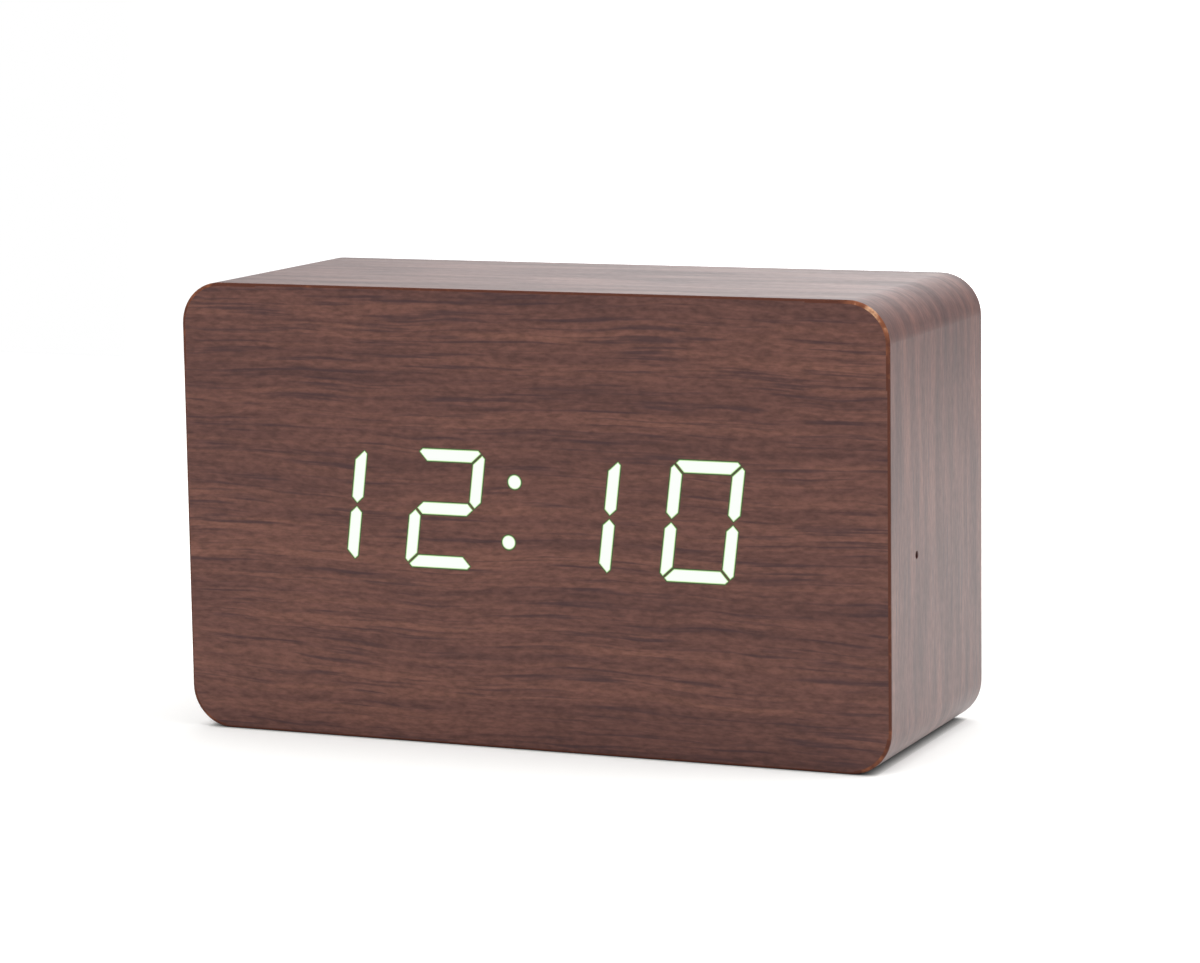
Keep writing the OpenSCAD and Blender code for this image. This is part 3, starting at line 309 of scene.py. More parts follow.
def copy_of(node):
    """Mesh of a CAD node, with its loose triangles joined and its flat faces made whole."""
    bm = bmesh.new()
    bm.from_mesh(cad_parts[node].data)
    bmesh.ops.remove_doubles(bm, verts=bm.verts, dist=ONE_CAD_POINT)
    bmesh.ops.dissolve_limit(
        bm, angle_limit=math.radians(0.5), verts=bm.verts, edges=bm.edges, use_dissolve_boundaries=False)
    return bm


def sharp_edges(bm, least=ROUNDED_ANGLE):
    """Edges between two faces that turn by more than an angle in degrees."""
    return [e for e in bm.edges if len(e.link_faces) == 2 and e.calc_face_angle(0.0) > math.radians(least)]


def soften(bm, edges, width, segments=2):
    """Rounds edges."""
    bmesh.ops.bevel(
        bm, geom=edges, offset=width, offset_type="OFFSET", affect="EDGES", segments=segments,
        profile=0.5, material=-1, clamp_overlap=True)


def make_piece(bm, name, body, materials, nodes):
    """Makes an object of a mesh, rides it on its body and lets it stand for its CAD nodes."""
    bmesh.ops.remove_doubles(bm, verts=bm.verts, dist=ONE_POINT)
    bmesh.ops.dissolve_degenerate(bm, edges=bm.edges, dist=ONE_POINT)
    bmesh.ops.recalc_face_normals(bm, faces=bm.faces)
    for face in bm.faces:
        face.smooth = True
    for edge in bm.edges:
        edge.smooth = edge.calc_face_angle(0.0) < math.radians(SHARP_ANGLE)
    mesh = bpy.data.meshes.new(name)
    bm.to_mesh(mesh)
    bm.free()
    for material in materials:
        mesh.materials.append(material)
    piece = bpy.data.objects.new(name, mesh)
    bpy.context.scene.collection.objects.link(piece)
    weighted = piece.modifiers.new("even_shading", "WEIGHTED_NORMAL")
    weighted.keep_sharp = True
    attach(piece, body)
    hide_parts(*nodes)


def softened_piece(node, name, body, materials, width, segments=2):
    """Copy of a CAD node with its sharp edges rounded."""
    bm = copy_of(node)
    soften(bm, found(sharp_edges(bm), f"sharp edges of {node}"), width, segments)
    make_piece(bm, name, body, materials, [node])


def finish_node(material, *nodes):
    """Gives CAD nodes that are kept a material."""
    for node in nodes:
        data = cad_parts[node].data
        data.materials.clear()
        data.materials.append(material)


def along_wrap(place, radius):
    """Length along the outline of the case from the middle of the right side, and depth below its skin."""
    flat_x = (HIGH.x - LOW.x) / 2 - radius
    flat_z = (HIGH.z - LOW.z) / 2 - radius
    x, z = place.x, place.z - MIDDLE.z
    near_x = max(-flat_x, min(flat_x, x))
    near_z = max(-flat_z, min(flat_z, z))
    angle = math.atan2(z - near_z, x - near_x)
    # the run starts and ends under the base; the slack keeps a flat side out of the corner before it
    slack = 0.01
    if angle < -math.pi / 2 - slack or (angle < 0 and x < 0):
        angle += 2 * math.pi
    run = radius * angle
    if angle < math.pi / 2 - slack:
        run += near_z
    elif angle < math.pi - slack:
        run += flat_z + flat_x - near_x
    else:
        run += 2 * flat_z + 2 * flat_x - near_z
    return run, radius - math.hypot(x - near_x, z - near_z)


class CLOCK_OT_wrap_film(bpy.types.Operator):
    """Walnut film round the case, its grain following the outline, and the strip under the base"""
    bl_idname = "clock.wrap_film"
    bl_label = "Wrap film"

    def execute(self, context):
        sizes = context.scene.clock_sizes
        radius = sizes.corner_radius
        look = {
            "ior": 1.65, "sheen": 0.5, "coarse": 3.2, "wander": 1.5 * MM, "stripes": 0.8, "spread": 0.12,
            "pores": 0.2, "hue": 0.494}
        film = walnut_film("Walnut film, wrapped, satin", own_map=True, **look)
        bm = copy_of("wrap_veneer")
        rear = [
            e for e in sharp_edges(bm)
            if all(v.co.y > HIGH.y - ON_PLANE and along_wrap(v.co, radius)[1] < ON_OUTLINE for v in e.verts)]
        soften(bm, found(rear, "rear rim"), sizes.rim_edge, 4)
        port = [
            e for e in sharp_edges(bm)
            if all(v.co.x > HIGH.x - ON_PLANE and LOW.z + radius < v.co.z < HIGH.z - radius
                   and LOW.y + radius < v.co.y < 0 for v in e.verts)]
        soften(bm, found(port, "sound port"), sizes.port_edge)
        # the map's first way follows the outline, so the grain runs round the corners
        layer = bm.loops.layers.uv.new("grain")
        for face in bm.faces:
            for loop in face.loops:
                run, depth = along_wrap(loop.vert.co, radius)
                loop[layer].uv = (run, loop.vert.co.y + depth)
        make_piece(bm, "wrap_film", "case", [film], ["wrap_veneer"])
        finish_node(walnut_film("Walnut film, base, satin", **look), "base_veneer")
        return {"FINISHED"}


def trimmed_fibre():
    """Fibre and glue in the front film's cut edge: dull orange-brown, with darker stretches, and pale
    where the corners are worn."""
    colours = bpy.context.scene.clock_colours
    material, tree, shader = start_material("Film edge, trimmed fibre", **{
        "Roughness": 0.7, "Specular IOR Level": 0.2})
    place = add_node(tree, "ShaderNodeTexCoord")
    noise = add_node(tree, "ShaderNodeTexNoise", {
        "Vector": place.outputs["Object"], "Scale": 1 / (1.6 * MM), "Detail": 4.0})
    worn = add_node(tree, "ShaderNodeAttribute", attribute_name="wear")
    reach = add_node(tree, "ShaderNodeMath", {
        0: worn.outputs["Fac"], 1: 0.6, 2: noise.outputs["Fac"]}, operation="MULTIPLY_ADD")
    tinted = add_node(tree, "ShaderNodeValToRGB", {"Fac": reach.outputs[0]}, (
        (0.6, colours.fibre_dark), (0.86, colours.fibre_light), (1.0, colours.fibre_bare)))
    tree.links.new(tinted.outputs["Color"], shader.inputs["Base Color"])
    return material


class CLOCK_OT_front_film(bpy.types.Operator):
    """Walnut film on the front, with its cut edge and the dark lines round the lit segments"""
    bl_idname = "clock.front_film"
    bl_label = "Front film"

    def execute(self, context):
        sizes, colours = context.scene.clock_sizes, context.scene.clock_colours
        cut_edge = trimmed_fibre()
        # film beside a lamp: green light leaks through it and drowns the grain
        dark_line = speckled(
            "Film beside a lamp", shade(colours.outline, 0.2), shade(colours.outline, 0.4), 1 * MM,
            rough=(0.45, 0.55), **{"Emission Color": colours.outline, "Emission Strength": 0.9})
        # the start picks a stretch of walnut with its dark bands much as in the photograph
        film = walnut_film("Walnut film, front, dull", 1.5, 0.22, start=(0.0, 0.0, 0.9), turn=LEVEL_GRAIN)
        looks = [film, cut_edge, dark_line]
        plain, edge, line = range(len(looks))
        bm = copy_of("front_veneer")
        front = LOW.y + ON_PLANE
        radius = sizes.corner_radius
        rim = [
            e for e in sharp_edges(bm)
            if all(v.co.y < front and along_wrap(v.co, radius)[1] < ON_OUTLINE for v in e.verts)]
        soften(bm, found(rim, "rim of the front film"), sizes.film_edge, 4)
        # how far each corner is worn, and cuts beside it where the wear ends
        corners = {(1, 1): 0.8, (-1, 1): 0.5, (1, -1): 0.3, (-1, -1): 0.3}
        for x, z in corners:
            cuts = ((x * (HIGH.x - 2 * radius), (1, 0, 0)), (z * (MIDDLE.z - 2 * radius), (0, 0, 1)))
            for spot, way in cuts:
                bmesh.ops.bisect_plane(
                    bm, geom=bm.verts[:] + bm.edges[:] + bm.faces[:], plane_no=way,
                    plane_co=Vector((0, 0, MIDDLE.z)) + spot * Vector(way), dist=ONE_POINT)
        face_on = [f for f in bm.faces if f.normal.y < -FACING and f.calc_center_median().y < front]
        ring = bmesh.ops.inset_region(
            bm, faces=found(face_on, "face of the front film"), thickness=sizes.outline_width,
            use_boundary=True, use_even_offset=False)["faces"]
        for face in bm.faces:
            on_rim = all(along_wrap(v.co, radius)[1] < sizes.film_edge + ON_PLANE for v in face.verts)
            face.material_index = edge if on_rim else plain
        # the ring lies round each segment, and just inside the rim too
        rim_width = 2 * MM
        for face in ring:
            if min(along_wrap(v.co, radius)[1] for v in face.verts) > rim_width:
                face.material_index = line
        # wear is worst on the rounded corner, a little inside the corner of the box, and fades from there
        inside, fade, rubbed = 0.3 * radius, 1.1 * radius, 0.15
        wear = bm.verts.layers.float.new("wear")
        for (x, z), amount in corners.items():
            corner = Vector((x * HIGH.x, 0.0, MIDDLE.z + z * MIDDLE.z))
            worst = corner - Vector((x, 0.0, z)) * inside
            for vert in bm.verts:
                away = (vert.co.xz - worst.xz).length / fade
                vert[wear] = max(vert[wear], amount * (1.0 - away))
        # the film is rubbed back a little further at the worn corners
        for face in ring:
            if face.material_index == plain and max(vert[wear] for vert in face.verts) > rubbed:
                face.material_index = edge
        make_piece(bm, "front_film", "case", looks, ["front_veneer"])
        return {"FINISHED"}


def lit_film(name, tint, dim):
    """Light through thin printed film: even, with a trace of its grain that dims it."""
    material, tree, shader = start_material(name, **{
        "Base Color": BLACK, "Roughness": 0.4, "Specular IOR Level": 0.2, "Emission Strength": 1.0})
    place = add_node(tree, "ShaderNodeTexCoord")
    trace_length, trace_width = 4 * MM, 0.4 * MM
    scaled = add_node(tree, "ShaderNodeVectorMath", {
        0: place.outputs["Object"], 1: (1 / trace_length, 1 / trace_length, 1 / trace_width)},
        operation="MULTIPLY")
    noise = add_node(tree, "ShaderNodeTexNoise", {"Vector": scaled.outputs[0], "Scale": 1.0})
    tinted = add_node(tree, "ShaderNodeValToRGB", {"Fac": noise.outputs["Fac"]}, (
        (0.0, shade(tint, dim)), (1.0, tint)))
    tree.links.new(tinted.outputs["Color"], shader.inputs["Emission Color"])
    return material


class CLOCK_OT_lit_segments(bpy.types.Operator):
    """Film over the lit lamps: white in the middle, dimmer along the rim"""
    bl_idname = "clock.lit_segments"
    bl_label = "Lit segments"

    def execute(self, context):
        sizes, colours = context.scene.clock_sizes, context.scene.clock_colours
        looks = [
            lit_film("Lit film", colours.glow, 0.97), lit_film("Lit film, rim", colours.glow_rim, 0.9)]
        bm = copy_of("lit_segments")
        faces = found([f for f in bm.faces if f.normal.y < -FACING], "faces of the lit segments")
        rim = bmesh.ops.inset_individual(
            bm, faces=faces, thickness=sizes.glow_rim, use_even_offset=True)["faces"]
        for face in rim:
            face.material_index = 1
        make_piece(bm, "lit_segments_glow", "case", looks, ["lit_segments"])
        return {"FINISHED"}


class CLOCK_OT_back_panel(bpy.types.Operator):
    """Back panel with its film, fibreboard and countersunk screws"""
    bl_idname = "clock.back_panel"
    bl_label = "Back panel"

    def execute(self, context):
        film = walnut_film("Walnut film, back, dull", 1.5, 0.3, turn=LEVEL_GRAIN)
        softened_piece(
            "back_veneer", "back_film", "case", [film], context.scene.clock_sizes.back_edge)
        # pressed wood fibres: matt, pale brown, with short darker fibres
        fibreboard = speckled(
            "Fibreboard, cut", linear("#705638"), linear("#94774f"), 0.6 * MM, bump=0.04 * MM,
            rough=(0.75, 0.9), detail=6.0)
        finish_node(fibreboard, "case_body", "back_board")
        # black zinc on steel: dark, with a dull metal shine
        black_zinc = speckled(
            "Black zinc on steel", linear("#1b1b1d"), linear("#333338"), 0.5 * MM,
            rough=(0.3, 0.45), Metallic=1.0)
        finish_node(black_zinc, "back_screws")
        return {"FINISHED"}


class CLOCK_OT_battery_bay(bpy.types.Operator):
    """Battery bay and its door, moulded in black plastic"""
    bl_idname = "clock.battery_bay"
    bl_label = "Battery bay"

    def execute(self, context):
        sizes = context.scene.clock_sizes
        plastic = [black_plastic()]
        softened_piece("battery_bay", "bay_shell", "case", plastic, sizes.bay_edge)
        softened_piece("battery_door", "bay_door", "door", plastic, sizes.door_edge, 3)
        return {"FINISHED"}


# distances from a dry cell's tip in mm: where its cap ends, its sleeve's band ends and its foot starts
CELL_CAP, CELL_BAND, CELL_FOOT = 1.1, 11.5, 44.1
# half the outline of a dry cell in mm: distance from its tip, and radius
CELL_OUTLINE = (
    (0.0, 0.0), (0.0, 1.5), (0.12, 1.8), (0.3, 1.9), (0.95, 1.9), (1.05, 2.2), (1.05, 4.3),
    (1.15, 4.7), (1.5, 5.05), (2.0, 5.22), (2.6, 5.25), (CELL_BAND, 5.25), (43.3, 5.25), (43.9, 5.2),
    (44.2, 5.0), (44.3, 4.6), (44.3, 3.9), (44.15, 3.6), (44.35, 3.3), (44.35, 0.0))


def contact_spring(sizes, start, way, middle_y, middle_z):
    """Mesh of a tapered coil that stands on its plate at start and narrows towards the cell."""
    turns, steps, slack = 3.5, 28, 0.1 * MM
    wire = sizes.spring_wire
    curve = bpy.data.curves.new("coil", "CURVE")
    curve.dimensions = "3D"
    curve.bevel_depth = wire / 2
    curve.bevel_resolution = 3
    curve.use_fill_caps = True
    spline = curve.splines.new("POLY")
    count = int(turns * steps)
    spline.points.add(count)
    for k in range(count + 1):
        share = k / count
        turn = 2 * math.pi * k / steps * way
        out = (sizes.spring_base + (sizes.spring_tip - sizes.spring_base) * share - wire) / 2
        along = wire / 2 + share * (sizes.spring_room - wire - slack)
        spline.points[k].co = (
            start + way * along, middle_y + way * out * math.cos(turn), middle_z + out * math.sin(turn), 1.0)
    holder = bpy.data.objects.new("coil", curve)
    bpy.context.scene.collection.objects.link(holder)
    bpy.context.view_layer.update()
    bm = bmesh.new()
    bm.from_mesh(holder.evaluated_get(bpy.context.evaluated_depsgraph_get()).to_mesh())
    bpy.data.objects.remove(holder)
    bpy.data.curves.remove(curve)
    return bm


class CLOCK_OT_cells(bpy.types.Operator):
    """Three dry cells with plain sleeves, and the contact springs and plates that hold them"""
    bl_idname = "clock.cells"
    bl_label = "Cells and contacts"

    def execute(self, context):
        sizes, colours = context.scene.clock_sizes, context.scene.clock_colours
        # plastic sleeve shrunk round the can: glossy, even colour
        sleeve = speckled(
            "Shrunk sleeve", shade(colours.sleeve, 0.98), shade(colours.sleeve, 1.02), 6 * MM,
            rough=(0.3, 0.31))
        band = speckled(
            "Shrunk sleeve, band", shade(colours.sleeve_band, 0.97), shade(colours.sleeve_band, 1.03),
            6 * MM, rough=(0.3, 0.31))
        nickel = nickel_plate()
        looks = [sleeve, band, nickel]
        on_sleeve, on_band, on_metal = range(len(looks))
        low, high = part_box("aaa_cells")
        radius = sizes.cell_diameter / 2
        middle_y = (low.y + high.y) / 2
        rows = (low.z + radius, (low.z + high.z) / 2, high.z - radius)
        # the middle cell points the other way
        ways = (1, -1, 1)
        tips = [high.x if way > 0 else low.x for way in ways]
        bm = bmesh.new()
        for z, way, tip in zip(rows, ways, tips):
            outline = [(along * MM, min(out * MM, radius)) for along, out in CELL_OUTLINE]
            verts = [bm.verts.new((tip - way * along, middle_y, z + out)) for along, out in outline]
            edges = [bm.edges.new(pair) for pair in zip(verts, verts[1:])]
            bmesh.ops.spin(
                bm, geom=verts + edges, cent=(tip, middle_y, z), axis=(1, 0, 0), angle=2 * math.pi,
                steps=48, use_merge=True)
        bmesh.ops.remove_doubles(bm, verts=bm.verts, dist=ONE_POINT)
        for face in bm.faces:
            centre = face.calc_center_median()
            row = min(range(len(rows)), key=lambda k: abs(rows[k] - centre.z))
            along = abs(centre.x - tips[row])
            if not CELL_CAP * MM < along < CELL_FOOT * MM:
                face.material_index = on_metal
            else:
                face.material_index = on_band if along < CELL_BAND * MM else on_sleeve
        make_piece(bm, "dry_cells", "case", looks, ["aaa_cells"])
        softened_piece("battery_contacts", "contact_plates", "case", [nickel], sizes.metal_edge)
        # each spring stands at the foot of its cell
        low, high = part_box("battery_springs")
        for index, (z, way) in enumerate(zip(rows, ways)):
            bm = contact_spring(sizes, low.x if way > 0 else high.x, way, middle_y, z)
            make_piece(bm, f"contact_spring_{index + 1}", "case", [nickel], ["battery_springs"])
        return {"FINISHED"}


class CLOCK_OT_keys(bpy.types.Operator):
    """Three keys with their marks, and the switches under them"""
    bl_idname = "clock.keys"
    bl_label = "Keys"

    def execute(self, context):
        sizes, colours = context.scene.clock_sizes, context.scene.clock_colours
        plastic = black_plastic()
        # paint filled into a sunk mark: matt pale grey
        paint = speckled(
            "Mark paint", shade(colours.mark, 0.9), colours.mark, 0.4 * MM, rough=(0.6, 0.7))
        # the mark lies inside the first radius, the rim outside the second, and the mark's floor this deep
        mark_reach, rim_reach = 2.2 * MM, 2.4 * MM
        mark_depth = (0.1 * MM, 0.2 * MM)
        for name in ("set", "up", "down"):
            node = name + "_button"
            low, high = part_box(node)
            middle = (low + high) / 2
            bm = copy_of(node)
            for face in bm.faces:
                sunk = high.y - face.calc_center_median().y
                painted = face.normal.y > FACING and mark_depth[0] < sunk < mark_depth[1]
                face.material_index = 1 if painted else 0
            crown = [e for e in sharp_edges(bm) if all(
                v.co.y > high.y - ON_PLANE and (v.co.xz - middle.xz).length > rim_reach for v in e.verts)]
            soften(bm, found(crown, f"rim of {node}"), sizes.key_crown, 4)
            mark = [e for e in sharp_edges(bm, SHARP_ANGLE) if all(
                (v.co.xz - middle.xz).length < mark_reach for v in e.verts)]
            soften(bm, found(mark, f"mark of {node}"), sizes.mark_edge)
            make_piece(bm, name + "_key_cap", name + "_key", [plastic, paint], [node])
        finish_node(plastic, "set_plunger", "up_plunger", "down_plunger", "switch_bodies")
        return {"FINISHED"}


class CLOCK_OT_power_inlet(bpy.types.Operator):
    """Power inlet with its pin, contact, washer and nut"""
    bl_idname = "clock.power_inlet"
    bl_label = "Power inlet"

    def execute(self, context):
        sizes = context.scene.clock_sizes
        bm = copy_of("dc_jack")
        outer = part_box("dc_jack")[1].y - ON_PLANE
        rim = [e for e in sharp_edges(bm) if all(v.co.y > outer for v in e.verts)]
        soften(bm, found(rim, "rim of the inlet"), sizes.inlet_rim, 4)
        make_piece(bm, "inlet_barrel", "case", [black_plastic()], ["dc_jack"])
        # turned brass: yellow metal with a fine haze
        brass = speckled(
            "Turned brass", linear("#b58a45"), linear("#d3ab62"), 0.5 * MM, rough=(0.25, 0.38),
            Metallic=1.0)
        softened_piece("jack_pin", "inlet_pin", "case", [brass], sizes.metal_edge)
        finish_node(brass, "jack_contact")
        nickel = nickel_plate()
        softened_piece("jack_nut", "inlet_nut", "case", [nickel], sizes.nut_edge)
        finish_node(nickel, "jack_washer")
        return {"FINISHED"}


class CLOCK_OT_inner_parts(bpy.types.Operator):
    """Boards, chips, lamps and small parts inside the case"""
    bl_idname = "clock.inner_parts"
    bl_label = "Inner parts"

    def execute(self, context):
        board = context.scene.clock_colours.board
        # lacquered glass laminate: green, with tracks showing as paler lines
        laminate = speckled(
            "Solder mask on laminate", shade(board, 0.8), shade(board, 1.25), 2 * MM, bump=0.03 * MM,
            rough=(0.3, 0.4), stretch=(1, 1, 0.15))
        finish_node(laminate, "display_board", "key_board")
        # moulded white plastic: matt, faintly warm
        white_plastic = speckled(
            "Moulded white plastic", linear("#d9d8d2"), linear("#ecebe6"), 1 * MM, rough=(0.4, 0.5))
        finish_node(
            white_plastic, "light_box", "display_socket", "key_socket", "ribbon_plugs", "key_spacers")
        # cast resin with a milky filler: pale, soft and even
        resin = speckled(
            "Milky cast resin", linear("#e3ecd8"), linear("#f3f8ec"), 1 * MM, rough=(0.25, 0.35))
        finish_node(resin, "light_bars")
        # phosphor in clear resin: pale yellow, slightly glossy
        phosphor = speckled(
            "Lamp phosphor", linear("#e8cf6a"), linear("#fbeeb0"), 0.5 * MM, rough=(0.3, 0.4))
        finish_node(phosphor, "segment_leds")
        # printed polyester: deep matt black
        black_film = speckled(
            "Printed black film", linear("#0c0c0c"), linear("#191919"), 1 * MM, rough=(0.5, 0.65))
        finish_node(black_film, "segment_mask")
        # filled epoxy: dark grey with a fine grain
        epoxy = speckled(
            "Moulded epoxy", linear("#18181a"), linear("#2a2a2c"), 0.3 * MM, bump=0.02 * MM,
            rough=(0.5, 0.65))
        finish_node(
            epoxy, "microcontroller", "led_driver", "chip_resistors", "coin_cell_holder", "buzzer")
        # fired ceramic: warm grey-brown, smooth
        ceramic = speckled(
            "Fired ceramic", linear("#94765a"), linear("#b8987a"), 0.4 * MM, rough=(0.35, 0.5))
        finish_node(ceramic, "chip_capacitors")
        finish_node(nickel_plate(), "display_screws", "key_screws", "clock_crystal", "coin_cell")
        # drawn aluminium: pale grey metal with lines along its side
        aluminium = speckled(
            "Drawn aluminium", linear("#a9acb0"), linear("#c6c9cc"), 0.4 * MM, rough=(0.25, 0.4),
            stretch=(1, 0.05, 1), Metallic=1.0)
        finish_node(aluminium, "reservoir_capacitor", "microphone")
        # soft rubber: black, dull
        rubber = speckled(
            "Soft rubber", linear("#151515"), linear("#222222"), 0.5 * MM, rough=(0.75, 0.9))
        finish_node(rubber, "microphone_boot")
        # ribbon of grey wires, 1.27 mm apart: soft stripes along it
        ribbon = speckled(
            "Grey ribbon insulation", linear("#9a9b9c"), linear("#b4b5b6"), 1.27 * MM, rough=(0.4, 0.5),
            stretch=(1, 0.02, 0.02))
        finish_node(ribbon, "link_ribbon")
        return {"FINISHED"}


class CLOCK_OT_leads(bpy.types.Operator):
    """Red and black leads between the boards, the bay, the inlet and the microphone"""
    bl_idname = "clock.leads"
    bl_label = "Leads"

    def execute(self, context):
        # soft insulation: even colour with a dull sheen
        red = speckled("Red insulation", linear("#8e1a17"), linear("#a8241f"), 3 * MM, rough=(0.4, 0.5))
        black = speckled("Black insulation", linear("#161616"), linear("#232323"), 3 * MM, rough=(0.4, 0.5))
        # colours of the first lead of each pair and of the other
        pairs = {"battery_leads": [black, red], "jack_leads": [red, black], "microphone_leads": [black, red]}
        for node, looks in pairs.items():
            bm = copy_of(node)
            bm.verts.ensure_lookup_table()
            first = set()
            stack = [bm.verts[0]]
            while stack:
                vert = stack.pop()
                if vert not in first:
                    first.add(vert)
                    stack.extend(e.other_vert(vert) for e in vert.link_edges)
            for face in bm.faces:
                face.material_index = 0 if face.verts[0] in first else 1
            make_piece(bm, node + "_insulated", "case", looks, [node])
        return {"FINISHED"}


def pale_floor(scene):
    """Floor that shows white to the eye and in reflections, keeps the clock's shadow, and has painted shade
    in the gap under the clock's edges.
    """
    reach, end_behind, below = 8.0, 0.36, 0.02 * MM
    bm = bmesh.new()
    # a hair below the base, so that the two don't flicker; it ends soon behind the clock, so that the
    # upper part of the side shines less
    bmesh.ops.create_grid(
        bm, x_segments=1, y_segments=1, size=reach,
        matrix=Matrix.Translation((0.0, end_behind - reach, -below)))
    mesh = bpy.data.meshes.new("floor")
    bm.to_mesh(mesh)
    bm.free()
    floor = bpy.data.objects.new("floor", mesh)
    scene.collection.objects.link(floor)
    # matt paper sweep: even and pale
    material, tree, shader = start_material("Pale sweep", **{
        "Roughness": 0.9, "Specular IOR Level": 0.0, "Emission Color": WHITE})
    path = add_node(tree, "ShaderNodeLightPath")
    seen = add_node(tree, "ShaderNodeMath", {
        0: path.outputs["Is Glossy Ray"], 1: 1.5, 2: path.outputs["Is Camera Ray"]},
        operation="MULTIPLY_ADD")
    seen = add_node(tree, "ShaderNodeMath", {
        0: seen.outputs[0], 1: path.outputs["Is Transmission Ray"]}, operation="ADD")
    lift = add_node(tree, "ShaderNodeMath", {0: seen.outputs[0], 1: 0.3}, operation="MULTIPLY")
    # painted shade: ambient occlusion darkens the floor's colour and its white lift in the gap under the
    # rounded edges
    near = add_node(tree, "ShaderNodeAmbientOcclusion", {
        "Color": scene.clock_colours.floor, "Distance": 1.2 * MM}, samples=8)
    lift = add_node(tree, "ShaderNodeMath", {
        0: lift.outputs[0], 1: near.outputs["AO"]}, operation="MULTIPLY")
    tree.links.new(near.outputs["Color"], shader.inputs["Base Color"])
    tree.links.new(lift.outputs[0], shader.inputs["Emission Strength"])
    mesh.materials.append(material)


def studio_sweep(scene):
    """World with a white sweep behind the clock, dimmer overhead, to the right and behind the camera."""
    world = bpy.data.worlds.new("studio")
    scene.world = world
    world.use_nodes = True
    tree = world.node_tree
    tree.nodes.clear()
    path = add_node(tree, "ShaderNodeLightPath")
    place = add_node(tree, "ShaderNodeTexCoord")
    way = add_node(tree, "ShaderNodeSeparateXYZ", {"Vector": place.outputs["Generated"]})
    high = add_node(tree, "ShaderNodeMapRange", {
        "Value": way.outputs["Z"], "From Min": 0.12, "From Max": 0.58, "To Min": 2.35, "To Max": 0.55},
        interpolation_type="SMOOTHSTEP")
    deep = add_node(tree, "ShaderNodeMapRange", {
        "Value": way.outputs["Y"], "From Min": -0.4, "From Max": 0.4, "To Min": 0.25, "To Max": 1.0},
        interpolation_type="SMOOTHSTEP")
    across = add_node(tree, "ShaderNodeMapRange", {
        "Value": way.outputs["X"], "From Min": -1.0, "From Max": 1.0})
    # brightness from the left to the right
    levels = (
        (0.0, 0.2), (0.24, 0.36), (0.36, 1.0), (0.48, 1.0), (0.57, 0.5), (0.66, 0.12), (1.0, 0.1))
    wide = add_node(tree, "ShaderNodeValToRGB", {"Fac": across.outputs["Result"]}, [
        (spot, (level, level, level, 1.0)) for spot, level in levels])
    sweep = add_node(tree, "ShaderNodeMath", {
        0: high.outputs[0], 1: deep.outputs[0]}, operation="MULTIPLY")
    sweep = add_node(tree, "ShaderNodeMath", {
        0: sweep.outputs[0], 1: wide.outputs["Color"]}, operation="MULTIPLY")
    seen = add_node(tree, "ShaderNodeMath", {
        0: path.outputs["Is Camera Ray"], 1: path.outputs["Is Transmission Ray"]}, operation="MAXIMUM")
    strength = add_node(tree, "ShaderNodeMath", {
        0: sweep.outputs[0], 1: seen.outputs[0]}, operation="MAXIMUM")
    background = add_node(tree, "ShaderNodeBackground", {"Color": WHITE, "Strength": strength.outputs[0]})
    add_node(tree, "ShaderNodeOutputWorld", {"Surface": background.outputs[0]})


def studio_lamps(scene):
    """Broad lamps far away, so that the floor is lit evenly."""
    # the direction that each stands in, its spread in degrees and its strength
    lamps = {
        "front_lamp": ((-0.4, -1.0, 0.7), 50.0, 1.87),
        "right_lamp": ((1.0, 0.3, 0.7), 50.0, 1.7),
        "top_lamp": ((0.1, 0.2, 1.0), 60.0, 1.9)}
    for name, (stand, spread, power) in lamps.items():
        lamp = bpy.data.lights.new(name, "SUN")
        lamp.angle = math.radians(spread)
        lamp.energy = power
        holder = bpy.data.objects.new(name, lamp)
        holder.rotation_euler = Vector(stand).to_track_quat("Z", "Y").to_euler()
        holder.visible_glossy = False
        scene.collection.objects.link(holder)


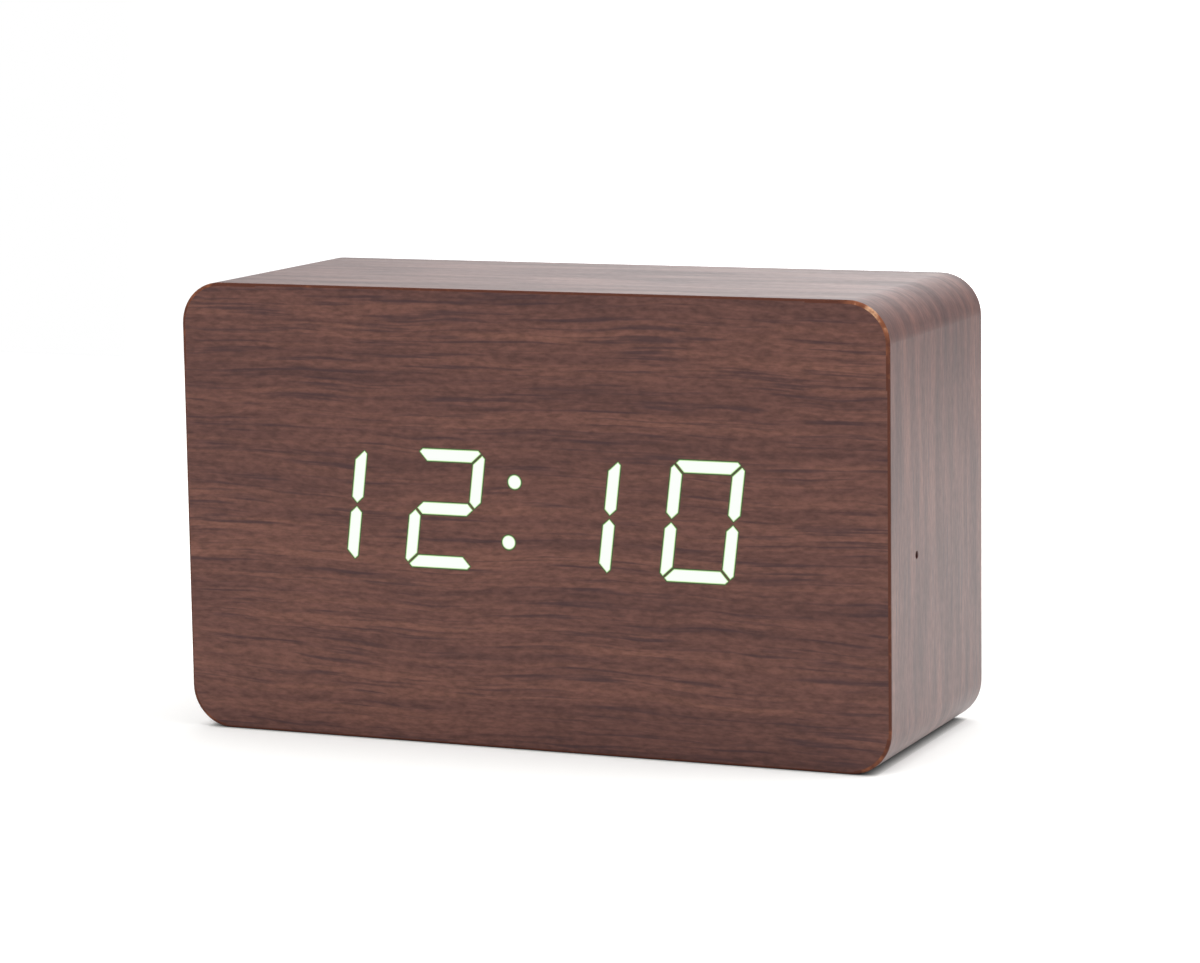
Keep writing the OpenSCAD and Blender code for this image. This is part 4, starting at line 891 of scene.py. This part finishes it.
def photo_camera(scene):
    """Camera worked out from the edges of the case in the photograph."""
    stand = (0.21103, -0.48868, 0.11181)
    yaw, pitch, roll = (math.radians(v) for v in (23.1113, 8.4305, -0.8530))
    level = Vector((-math.sin(yaw), math.cos(yaw), 0.0))
    ahead = level * math.cos(pitch) - Vector((0.0, 0.0, math.sin(pitch)))
    right = Vector((math.cos(yaw), math.sin(yaw), 0.0))
    up = right.cross(ahead)
    side = right * math.cos(roll) + up * math.sin(roll)
    top = -right * math.sin(roll) + up * math.cos(roll)
    turn = Matrix((side, top, -ahead)).transposed().to_4x4()
    lens = bpy.data.cameras.new("camera")
    lens.sensor_fit = "HORIZONTAL"
    lens.sensor_width = 36.0
    lens.lens = 120.12
    lens.clip_end = 50.0
    camera = bpy.data.objects.new("camera", lens)
    camera.matrix_world = Matrix.Translation(stand) @ turn
    scene.collection.objects.link(camera)
    scene.camera = camera


class CLOCK_OT_stage(bpy.types.Operator):
    """Pale floor, soft studio light and the camera"""
    bl_idname = "clock.stage"
    bl_label = "Stage"

    def execute(self, context):
        scene = context.scene
        scene.view_settings.view_transform = "Standard"
        pale_floor(scene)
        studio_sweep(scene)
        studio_lamps(scene)
        photo_camera(scene)
        return {"FINISHED"}


OPERATORS = (
    CLOCK_OT_wrap_film, CLOCK_OT_front_film, CLOCK_OT_lit_segments, CLOCK_OT_back_panel,
    CLOCK_OT_battery_bay, CLOCK_OT_cells, CLOCK_OT_keys, CLOCK_OT_power_inlet, CLOCK_OT_inner_parts,
    CLOCK_OT_leads, CLOCK_OT_stage)


class CLOCK_PT_sidebar(bpy.types.Panel):
    """Steps that dress the clock"""
    bl_idname = "CLOCK_PT_sidebar"
    bl_label = "Walnut alarm clock"
    bl_space_type = "VIEW_3D"
    bl_region_type = "UI"
    bl_category = "Clock"

    def draw(self, context):
        for operator in OPERATORS:
            self.layout.operator(operator.bl_idname)
        for group in (context.scene.clock_sizes, context.scene.clock_colours):
            for name in group.__annotations__:
                self.layout.prop(group, name)


CLASSES = (ClockSizes, ClockColours) + OPERATORS + (CLOCK_PT_sidebar,)


def register():
    for cls in CLASSES:
        bpy.utils.register_class(cls)
    bpy.types.Scene.clock_sizes = bpy.props.PointerProperty(type=ClockSizes)
    bpy.types.Scene.clock_colours = bpy.props.PointerProperty(type=ClockColours)


def unregister():
    del bpy.types.Scene.clock_colours
    del bpy.types.Scene.clock_sizes
    for cls in reversed(CLASSES):
        bpy.utils.unregister_class(cls)


def main():
    register()
    for operator in OPERATORS:
        group, name = operator.bl_idname.split(".")
        getattr(getattr(bpy.ops, group), name)()


if __name__ == "__main__":
    main()
